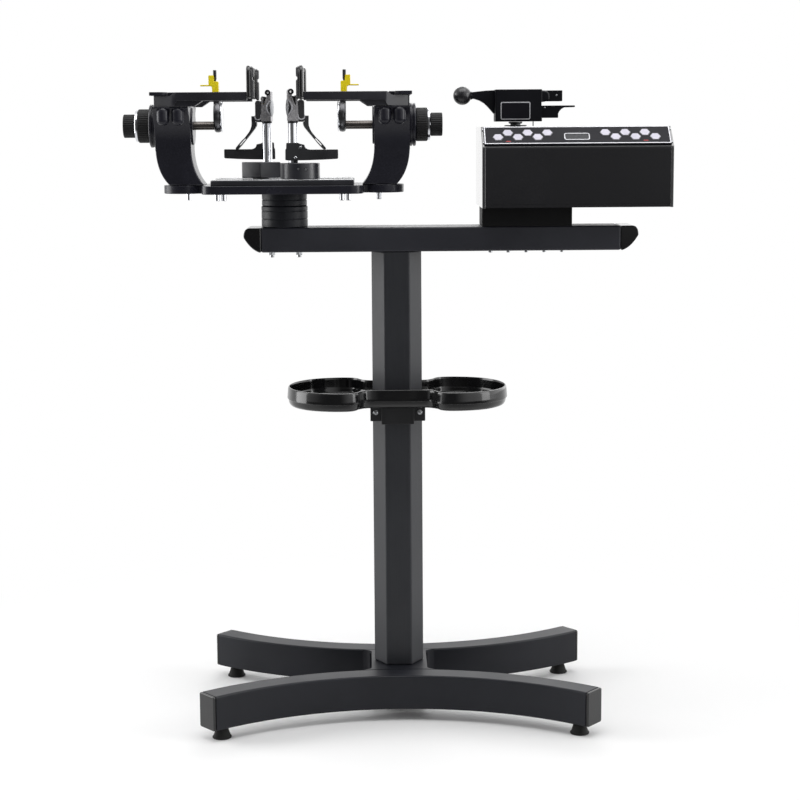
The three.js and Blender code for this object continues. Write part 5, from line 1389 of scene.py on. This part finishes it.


# dial: fluted disc on a cone that sinks into the casting, with a bright shell trimmed to a thin band where
# they meet, a painted highlight of that edge
def makeDials():
    at = (0, clamp["head"] + clampHead["dialZ"])
    cone = turned("dial_cone", clampHead["dialCone"], "x", at, 64)
    # the bright shell, trimmed to a thin band: a painted highlight along the cone's edge
    edge = turned("dial_painted_highlight", clampHead["dialHighlightShell"], "x", at, 64)
    near, far, inwards = clampHead["dialTrim"]
    for start, end in ((-far, -near), (near, far)):
        cutAway(edge, block("dial_trim", (-far, start, at[1] - far), (inwards, end, at[1] + far)))
    dial = turned("clamp_dial", clampHead["dialFace"], "x", at, 64)
    return [(cone, "clamp_dial_cone", "head", "blackScrew", "matte_plastic", None, 35),
            (edge, "clamp_dial_painted_highlight", "head", "silverLine", "bright_aluminium", None, 35),
            (dial, "clamp_dial", "head", "brushedSteel", "grey_steel", None, 30)]


# cheek: black pad in a bright U, with a bracket for the handle
def makeCheeks():
    pad = roundEdges(roundedPlate("clamp_cheek_pad", *clampHead["pad"]), 1.6, 4, 60)
    cup = roundEdges(roundedPlate("clamp_cheek_cup", *clampHead["cup"]), 0.5, 2, 60)
    half = clampHead["bracketHalf"]
    outline = moved(clampHead["bracket"], 0, clamp["head"])
    bracket = roundEdges(outlineSolid("clamp_cheek_bracket", outline, -half, half, "y"), 0.7, 2, 40)
    return [(pad, "clamp_cheek_pad", "head", "padRubber", "matte_plastic", None, 35),
            (cup, "clamp_cheek_cup", "head", "silverLine", "grey_steel", None, 35),
            (bracket, "clamp_cheek_bracket", "head", "armPaint", "matte_plastic", None, 35)]


# Jaw handle: a swept blade with a slot near its tip. Heights are from the head's lower face.
jawHandle = {
    "outline": ((19.8, 8.8), (26.4, 8.8), (26.4, 3), (26.2, -3), (26.6, -8), (28.6, -13.6), (31, -18),
                (34.8, -22.8),
                (38.8, -27.6), (43.6, -32), (48.4, -37.2), (52.4, -41.8), (54.6, -44.4), (54.8, -46.2),
                (53.4, -47.6),
                (51.4, -47.4), (49, -45.2), (44, -40), (37.8, -32.6), (30.4, -23.8), (24.2, -16.4),
                (20.2, -11.4),
                (17.9, -7.4), (17.2, -4), (17.4, -1.9), (19.4, -1), (19.8, 1)),
    "halfY": 3.5, "slot": ((37.4, -28.4), (38.8, -29), (47.8, -38.8), (48, -40.4), (46.4, -40.4),
                           (37, -30.2)),
    "pin": (23.2, 5.4), "pinFace": ((0, 4.1), (1.6, 4.1), (2, 3.8)),
}


def makeHandles():
    base, half = clamp["head"], jawHandle["halfY"]
    handle = outlineSolid("jaw_handle_blade", moved(jawHandle["outline"], 0, base), -half, half, "y")
    slot = outlineSolid("handle_slot", moved(jawHandle["slot"], 0, base), -2 * half, 2 * half, "y")
    cutAway(handle, slot)
    roundEdges(handle, 0.7, 2, 30)
    x, z = jawHandle["pin"]
    face = jawHandle["pinFace"]
    pin = turned("handle_pin", [(r, -y) for r, y in face] + list(reversed(face)), "y", (x, base + z), 24)
    return [(handle, "jaw_handle_blade", "handle", "leverPaint", "matte_plastic", "jaw_handle", 35),
            (pin, "jaw_handle_pin", "handle", "blackScrew", "grey_steel", None, 35)]


for makeClampPart in (makeClampBases, makeLevers, makePosts, makeHeads, makeDials, makeCheeks, makeHandles):
    setInPlace(makeClampPart())
print("clamps made")


# Tension head: pedestal and sheet-metal box with side plates; its motor and guide stay the CAD's own.
box = {
    "left": 140.5, "right": 455.8, "front": -92, "back": 88, "low": 869.3, "high": 1002.3,
    "leftPlate": 5.4, "rightPlate": 4.8, "seam": 0.5, "lip": 5.2, "lipLine": 0.7, "wall": 3,
    "slotX": (189.7, 364.6), "slotY": 9.3, "pedestal": ((143.5, -39, 836.9), (294.5, 39, 869.2)),
    # the two bends of the slope, rounded: (inwards, up) from each, and how far a bend moves with an inset
    "bendZ": 969.3, "bendY": -52, "bendShare": 0.36, "backCorner": 1.5,
    "fold": ((0, -4.5), (0.15, -2.6), (0.65, -0.9), (1.6, 0.7), (3.1, 2.3)),
    "ridge": ((-1.6, -1.3), (0.2, -0.3)),
    "ridgeEnd": 2.4,
}


# the box's section, set in by "inset", with the bend under the panel rounded
def boxSection(inset, low):
    front, back, high = box["front"] + inset, box["back"] - inset, box["high"] - inset
    bend, corner = inset * box["bendShare"], box["backCorner"]
    fold = moved(box["fold"], front, box["bendZ"] - bend)
    ridge = moved(box["ridge"], box["bendY"] + bend, high) + [(box["bendY"] + box["ridgeEnd"], high)]
    return [(front, low), *fold, *ridge, (back - corner, high), (back, high - corner), (back, low)]


def makeBox():
    low, high, seam, over = box["low"], box["high"], box["seam"], box["wall"] * 3
    start, end = box["left"] + box["leftPlate"], box["right"] - box["rightPlate"]
    body = outlineSolid("housing_sheet", boxSection(seam, low + seam), start - 1, end + 1, "x")
    inside = outlineSolid("housing_inside", boxSection(box["wall"], low + box["wall"]), start + 1, end - 1,
                          "x")
    (slotLeft, slotRight), slotY = box["slotX"], box["slotY"]
    slot = block("housing_slot", (slotLeft, -slotY, high - over), (slotRight, slotY, high + over))
    front, level, width = box["front"], low + box["lip"], box["lipLine"]
    line = block("housing_lip_line", (start - over, front - over, level),
                 (end + over, front + seam + width, level + width))
    cutAway(body, inside, slot, line)
    roundEdges(body, 0.5, 2, 40)
    finished(body, "stand", "sheetPaint", "satin_paint", "housing")
    for name, first, last in (("left", box["left"], start), ("right", end, box["right"])):
        plate = outlineSolid(f"housing_{name}_plate", boxSection(0, low), first, last, "x")
        roundEdges(plate, 0.8, 3, 30)
        finished(plate, "stand", "sideGloss", "satin_paint")
    pedestal = block("pedestal_casting", *box["pedestal"])
    roundEdges(pedestal, 1, 3, 40)
    finished(pedestal, "stand", "deepBlack", "matte_plastic", "pedestal")


makeBox()
print("box made")


# Control panel on the slope: drawn flat, x as outside, y up the slope, z off its face.
panel = {
    "middle": (0, -72, 985.8), "slope": 39.52, "halfY": 22.4, "margin": 3.5, "low": 0.1, "high": 3.1,
    "keyX": (167.4, 344.8), "pitch": 16.33, "rowY": 5.47, "keyRadius": 9.46, "keyGap": 0.3,
    "keyLow": 1.5, "keyHigh": 4.1, "capInset": 1.3, "capLow": 0.6, "edgeDrop": 0.25,
    "displayX": 297.4, "displayY": -4, "display": (20, 7.5), "displayDepth": 1, "displayCorner": 3,
    "glassInset": 0.2, "glass": (-0.9, -0.35),
    # frames as (growth beyond the edge, corner, width, height above the face)
    "border": (-0.8, 0.8, 1.7, 0.18), "displayBorder": (0.9, 3.9, 1.3, 0.3), "sink": 0.1,
    "marks": ((183.7, -15.5), (410.1, -14.8)), "mark": (4, 0.7, 0.6), "markHigh": 0.15,
    "screwAt": (1.2, 6), "screwFace": ((0, -2.4), (1.1, -2.4), (1.1, -1.2), (0.6, -0.9), (0, -0.9)),
}


def ontoSlope(piece):
    place = Matrix.Translation(Vector(panel["middle"]) * mm) @ Matrix.Rotation(math.radians(panel["slope"]),
                                                                               4, "X")
    piece.data.transform(place)
    return piece


def hexagon(radius, at):
    turns = [math.pi * i / 3 for i in range(6)]
    return [(at[0] + radius * math.cos(a), at[1] + radius * math.sin(a)) for a in turns]


def roundedLoop(halfX, halfY, corner, at, steps=6):
    loop = []
    for number, (signX, signY) in enumerate(((1, 1), (-1, 1), (-1, -1), (1, -1))):
        for i in range(steps + 1):
            angle = math.pi / 2 * (number + i / steps)
            loop.append((at[0] + signX * (halfX - corner) + corner * math.cos(angle),
                         at[1] + signY * (halfY - corner) + corner * math.sin(angle)))
    return loop


# a flat frame between two rounded loops, half sunk into the panel's face
def lineFrame(name, halfX, halfY, at, look):
    growth, corner, width, rise = look
    halfX, halfY = halfX + growth, halfY + growth
    low, high = panel["high"] - panel["sink"], panel["high"] + rise
    ring = outlineSolid(name, roundedLoop(halfX, halfY, corner, at), low, high, "z")
    hole = roundedLoop(halfX - width, halfY - width, max(0.2, corner - width), at)
    cutAway(ring, outlineSolid("frame_hole", hole, low - 1, high + 1, "z"))
    finished(ontoSlope(ring), "stand", "silverLine", "bright_aluminium")


def makePanel():
    left, right = box["left"] + panel["margin"], box["right"] - panel["margin"]
    middle, half, high = ((left + right) / 2, 0), (right - left) / 2, panel["high"]
    plate = block("control_panel_plate", (left, -panel["halfY"], panel["low"]),
                  (right, panel["halfY"], high))
    roundEdges(plate, 0.7, 2, 40)
    places = [(start + i * panel["pitch"], panel["rowY"] * (first if i % 2 == 0 else -first))
              for start, first in zip(panel["keyX"], (-1, 1)) for i in range(6)]
    for place in places:
        hole = hexagon(panel["keyRadius"] + panel["keyGap"], place)
        cutAway(plate, outlineSolid("key_hole", hole, -1, high + 2, "z"))
    at = (panel["displayX"], panel["displayY"])
    halfX, halfY = panel["display"]
    corner, inset = panel["displayCorner"], panel["glassInset"]
    hole = roundedLoop(halfX, halfY, corner, at)
    cutAway(plate, outlineSolid("display_hole", hole, high - panel["displayDepth"], high + 2, "z"))
    finished(ontoSlope(plate), "stand", "panelFace", "gloss_paint", "control_panel")
    lineFrame("panel_border", half, panel["halfY"], middle, panel["border"])
    lineFrame("display_border", halfX, halfY, at, panel["displayBorder"])
    loop = roundedLoop(halfX - inset, halfY - inset, corner - inset, at)
    glass = outlineSolid("display_glass", loop, *[high + level for level in panel["glass"]], "z")
    finished(ontoSlope(glass), "stand", "displayGlass", "gloss_paint")
    low, top = high - panel["sink"], high + panel["markHigh"]
    for number, place in enumerate(panel["marks"]):
        mark = outlineSolid(f"panel_mark_{number + 1}", roundedLoop(*panel["mark"], place, 3), low, top, "z")
        finished(ontoSlope(mark), "stand", "redMark", "yellow_plastic")
    return places


# keys: a grey edge with a paler cap let into it
def makeKeys(places):
    radius, high = panel["keyRadius"], panel["keyHigh"]
    for number, place in enumerate(places):
        key, body = f"key_{number + 1}", f"button_{number + 1}"
        edge = outlineSolid(key + "_edge", hexagon(radius, place), panel["keyLow"], high - panel["edgeDrop"],
                            "z")
        roundEdges(edge, 0.5, 2, 30)
        finished(ontoSlope(edge), body, "greyTrim", "key_plastic", key)
        outline = hexagon(radius - panel["capInset"], place)
        cap = outlineSolid(key + "_cap", outline, high - panel["capLow"], high, "z")
        roundEdges(cap, 0.3, 2, 30)
        finished(ontoSlope(cap), body, "keyPlastic", "key_plastic")


makeKeys(makePanel())
print("panel made")


# Gripper: carriage neck, body with a bordered plate, ball lever and the two jaws. Places are from the
# carriage's middle and the top of the box.
gripper = {
    "x": 202, "z": 1002.3, "left": -35.5, "right": 43, "low": 8.3, "high": 61.5, "halfY": 21,
    "upperJaw": ((33, -14, 41.5), (77.5, 14, 59.5)), "window": ((33, -11.5, 13.7), (45, 11.5, 40.8)),
    "lowerJawRoom": ((42, -30, 13.7), (60, 30, 40.6)),
    "cheek": ((30, 59.8), (46, 59.6), (51.5, 58.2), (55, 55), (56, 50), (55.6, 44.5), (54.4, 41.6),
              (50, 41.6),
              (46, 40.6), (43.6, 37), (42.6, 32), (30, 32)),
    "slotEnd": -7.5, "slotFloor": 9.9, "slotGap": 0.4, "seam": (2, 0.7, 0.5),
    "plate": (-26.4, 23.2, 11.6, 40.6),
    # sheets on both faces as (label, finish, inset, height)
    "sheets": (("border", "silverLine", 0, 0.5), ("plate", "panelFace", 1.3, 0.6)), "plateCorner": 2.6,
    # screws as (name, body, x, y, z, radius)
    "screws": (("upper_jaw_screw", "gripper", 67.5, -14, 51.6, 1.5),
               ("lower_jaw_screw", "jaw", 48, -11, 31.2, 1.4)),
    "screwFace": ((0, 1.5), (1, 1.5), (1, -0.25), (0.6, -0.5), (0, -0.3)),
    "lowerJaw": ((33.3, 14), (70.4, 14), (71, 14.6), (71, 21), (72.6, 24.5), (76, 28.4), (81, 31.2),
                 (98, 31.6),
                 (99, 32.2), (99, 34), (98.5, 34.5), (33.3, 34.5)), "lowerJawHalf": 11,
}


def onHead(piece):
    piece.data.transform(Matrix.Translation(Vector((gripper["x"], 0, gripper["z"])) * mm))
    return piece


def makeGripper():
    left, right, low, high, half = (gripper[key] for key in ("left", "right", "low", "high", "halfY"))
    body = block("gripper_body_casting", (left, -half, low), (right, half, high))
    roundEdges(body, 1.3, 3, 40)
    cheek = outlineSolid("gripper_cheek", gripper["cheek"], -half + 1, half - 1, "y")
    roundEdges(cheek, 3.2, 5, 40)
    jaw = block("upper_jaw", *gripper["upperJaw"])
    roundEdges(jaw, 0.9, 3, 40)
    fuse(body, cheek, jaw)
    window = block("jaw_window", *gripper["window"])
    leverHalf = ballLever["halfY"] + gripper["slotGap"]
    start, end = (2 * left, -leverHalf, gripper["slotFloor"]), (gripper["slotEnd"], leverHalf, 2 * high)
    cutAway(body, window, block("lever_slot", start, end), block("lower_jaw_room", *gripper["lowerJawRoom"]))
    # a shallow seam behind the left edge
    away, width, depth = gripper["seam"]
    for side in (-1, 1):
        near, far = sorted((side * (half - depth), side * (half + 2)))
        cutAway(body, block("gripper_seam", (left + away, near, 0), (left + away + width, far, 2 * high)))
    finished(onHead(body), "gripper", "gripperPaint", "matte_plastic", "gripper_body", smooth=35)
    half = gripper["lowerJawHalf"]
    lower = outlineSolid("lower_jaw_casting", gripper["lowerJaw"], -half, half, "y")
    roundEdges(lower, 0.6, 2, 30)
    finished(onHead(lower), "jaw", "gripperPaint", "matte_plastic", "lower_jaw")


def makeGripperPlates():
    half, corner = gripper["halfY"], gripper["plateCorner"]
    x0, x1, z0, z1 = gripper["plate"]
    middle, halfX, halfZ = ((x0 + x1) / 2, (z0 + z1) / 2), (x1 - x0) / 2, (z1 - z0) / 2
    for side, sideName in ((-1, "front"), (1, "rear")):
        for label, finish, inset, depth in gripper["sheets"]:
            loop = roundedLoop(halfX - inset, halfZ - inset, corner - inset * 0.6, middle)
            near, far = sorted((side * (half - 1), side * (half + depth)))
            sheet = outlineSolid(f"gripper_{sideName}_{label}", loop, near, far, "y")
            roundEdges(sheet, 0.2, 1, 40)
            finished(onHead(sheet), "gripper", finish, "satin_paint")
    for name, body, x, y, z, radius in gripper["screws"]:
        profile = [(radius * share, y + depth) for share, depth in gripper["screwFace"]]
        finished(onHead(turned(name, profile, "y", (x, z), 20)), body, "zincScrew", "grey_steel")


# Carriage: shoe on the guide, plate on the box's top, and the neck that carries the gripper.
carriage = {
    "plate": (18, 15, 5), "plateZ": (0.4, 2.5), "neck": ((-9, -8.8, -3.6), (9, 8.8, 2)),
    "collar": ((0, 2), (8.6, 2), (8.6, 4.6), (11, 5.2), (11.6, 5.8), (11.6, 7.4), (11, 8), (0, 8)),
    "shoe": ((-30, -20, -25.3), (30, 20, -3.4)), "guide": ((-40, -6.4, -21.7), (40, 6.4, -8.9)),
    "pin": ((0, 0.6), (0.6, 0.6), (0.9, 0.9), (0.9, 8.8), (0, 8.8)), "pinAt": (29, -9),
}


def makeCarriage():
    plate = outlineSolid("carriage_plate", roundedLoop(*carriage["plate"], (0, 0)), *carriage["plateZ"], "z")
    roundEdges(plate, 0.5, 2, 40)
    collarDisc = turned("carriage_collar", carriage["collar"], "z", (0, 0), 48)
    fuse(plate, block("carriage_neck", *carriage["neck"]), collarDisc)
    fuse(plate, roundEdges(block("carriage_shoe", *carriage["shoe"]), 1.2, 2, 40))
    cutAway(plate, block("guide_room", *carriage["guide"]))
    finished(onHead(plate), "gripper", "darkSteel", "cast_aluminium", "gripper_carriage")
    pin = turned("carriage_pin", carriage["pin"], "z", carriage["pinAt"], 16)
    finished(onHead(pin), "gripper", "darkSteel", "cast_aluminium")


# Ball lever: a horn on a cross pin, and the ball with a flat ring where it meets the lever.
ballLever = {
    "halfY": 6, "pivot": (-20, 43), "pinRadius": 2.9, "pinHalf": 19.5, "ball": (-89.4, 51.8),
    "ballRadius": 15.4,
    # from the pivot, and then from the carriage's middle
    "hub": ((8, 9), (0, 12)), "hubUnder": ((0, -12), (8, -9)),
    "horn": ((-26, 60.2), (-35.5, 60.6), (-50, 60), (-66, 58.4), (-78, 57), (-86.4, 56.4), (-86.4, 47.4),
             (-79, 47.1),
             (-70, 46.2), (-61, 43.4), (-53, 38.6), (-46.6, 32.4), (-41, 26), (-37.4, 21.8), (-34.5, 20.6),
             (-28, 27)),
    # (radius, distance from the ball's surface)
    "ring": ((6.4, -1.6), (6.8, -0.6), (6, 1.4)),
}


def makeBallLever():
    (px, pz), (bx, bz) = ballLever["pivot"], ballLever["ball"]
    half, pinHalf = ballLever["halfY"], ballLever["pinHalf"]
    shape = moved(ballLever["hub"], px, pz) + [*ballLever["horn"]] + moved(ballLever["hubUnder"], px, pz)
    lever = outlineSolid("ball_lever_casting", shape, -half, half, "y")
    roundEdges(lever, 1.1, 3, 30)
    fuse(lever, drum("ball_lever_pin", ballLever["pinRadius"], -pinHalf, pinHalf, "y", (px, pz), 32))
    finished(onHead(lever), "trigger", "gripperPaint", "matte_plastic", "ball_lever", smooth=35)
    r = ballLever["ballRadius"]
    turns = [math.radians(a) for a in range(6, 180, 6)]
    profile = [(0, bz - r)] + [(r * math.sin(a), bz - r * math.cos(a)) for a in turns] + [(0, bz + r)]
    ball = turned("lever_ball", profile, "z", (bx, 0), 64)
    ring = closedOnAxis([(radius, bx + r + out) for radius, out in ballLever["ring"]])
    finished(onHead(ball), "trigger", "ballPlastic", "gloss_paint", smooth=60)
    neck = turned("lever_ball_neck", ring, "x", (0, bz), 40)
    finished(onHead(neck), "trigger", "gripperPaint", "matte_plastic", smooth=35)


makeCarriage()
makeBallLever()
makeGripper()
makeGripperPlates()
print("gripper made")


# Small fasteners: bolts under the plate and the beam, and the panel's corner screws.
bolts = {
    # from the turntable's centre
    "plate": ((-160, -8), (160, -8), (-109, -52), (-98, -52), (98, -52), (109, -52)),
    "plateUnder": 894.3, "plateRadius": 4.4, "plateDrop": 11.5,
    "beam": (-211, -165), "beamUnder": 795.7, "beamRadius": 6.2, "beamDrop": 10.5,
    "small": (160, 190.4, 220.8, 251.2, 281.6), "smallRadius": 3.6, "smallDrop": 5,
    # the flange's share of the head's radius, how far it sinks in and how low it and its corner reach
    "flangeShare": 1.35, "sink": 0.2, "flangeLow": (1, 1.4), "corner": 0.8, "socketShare": 0.5,
    "socketDepth": 2.4,
    "washerShare": 1.3, "washer": 1.6, "hexLow": 4, "shankShare": 0.62, "shank": 5,
}


# a cap bolt that hangs head down below the level "under"
def capBolt(name, at, under, radius, drop, sides):
    flange, corner, (flangeLow, headHigh) = radius * bolts["flangeShare"], bolts["corner"], bolts["flangeLow"]
    spots = [(flange, under + bolts["sink"]), (flange, under - flangeLow), (radius, under - headHigh),
             (radius, under - drop + corner), (radius - corner, under - drop)]
    bolt = turned(name, closedOnAxis(spots), "z", at, sides)
    low, high = under - 2 * drop, under - drop + bolts["socketDepth"]
    return cutAway(bolt, drum("bolt_socket", radius * bolts["socketShare"], low, high, "z", at, 6))


def hexBolt(name, at, under, radius, drop):
    washer = drum("bolt_washer", radius * bolts["washerShare"], under - bolts["washer"],
                  under + bolts["sink"], "z", at, 32)
    head = drum(name, radius, under - drop + bolts["hexLow"], under - bolts["flangeLow"][1], "z", at, 6)
    roundEdges(head, 0.6, 2, 40)
    shank = drum("bolt_end", radius * bolts["shankShare"], under - drop, under - drop + bolts["shank"], "z",
                 at, 24)
    roundEdges(shank, 0.6, 2, 40)
    return fuse(head, washer, shank)


def makeBolts():
    size = (bolts["plateUnder"], bolts["plateRadius"], bolts["plateDrop"])
    for number, (x, y) in enumerate(bolts["plate"]):
        bolt = capBolt(f"plate_bolt_{number + 1}", (turntable["x"] + x, y), *size, 32)
        finished(bolt, "turntable", "chrome", "grey_steel")
    size = (bolts["beamUnder"], bolts["beamRadius"], bolts["beamDrop"])
    for number, x in enumerate(bolts["beam"]):
        finished(hexBolt(f"beam_bolt_{number + 1}", (x, 0), *size), "stand", "zincScrew", "grey_steel")
    size = (bolts["beamUnder"], bolts["smallRadius"], bolts["smallDrop"])
    for number, x in enumerate(bolts["small"]):
        finished(capBolt(f"beam_screw_{number + 1}", (x, 0), *size, 24), "stand", "zincScrew", "grey_steel")
    out, down = panel["screwAt"]
    left, right = box["left"] + panel["margin"] - out, box["right"] - panel["margin"] + out
    high, half = panel["high"], panel["halfY"] - down
    for number, place in enumerate(((left, half), (right, half), (left, -half), (right, -half))):
        screw = turned(f"panel_screw_{number + 1}", moved(panel["screwFace"], 0, high), "z", place, 16)
        finished(ontoSlope(screw), "stand", "zincScrew", "grey_steel")


makeBolts()
print("bolts made")


# CAD nodes whose shape is right keep it
cadFinish = {
    "frame_paint": "powderCoat", "gloss_paint": "enamel", "satin_paint": "boxPaint",
    "black_plastic": "mouldedGloss",
    "matte_plastic": "mattePlastic", "foot_rubber": "rubber", "bright_aluminium": "mirrorAluminium",
    "cast_aluminium": "beadBlasted", "grey_steel": "brushedSteel", "clamp_steel": "beadBlasted",
    "yellow_plastic": "yellowPlastic", "key_plastic": "keyPlastic", "motor_case": "motorPaint",
}
for part in frame["record"]["subparts"]:
    dress(part["node"], cadFinish[part["material_slot"]])
print("CAD nodes dressed")

bpy.context.view_layer.update()
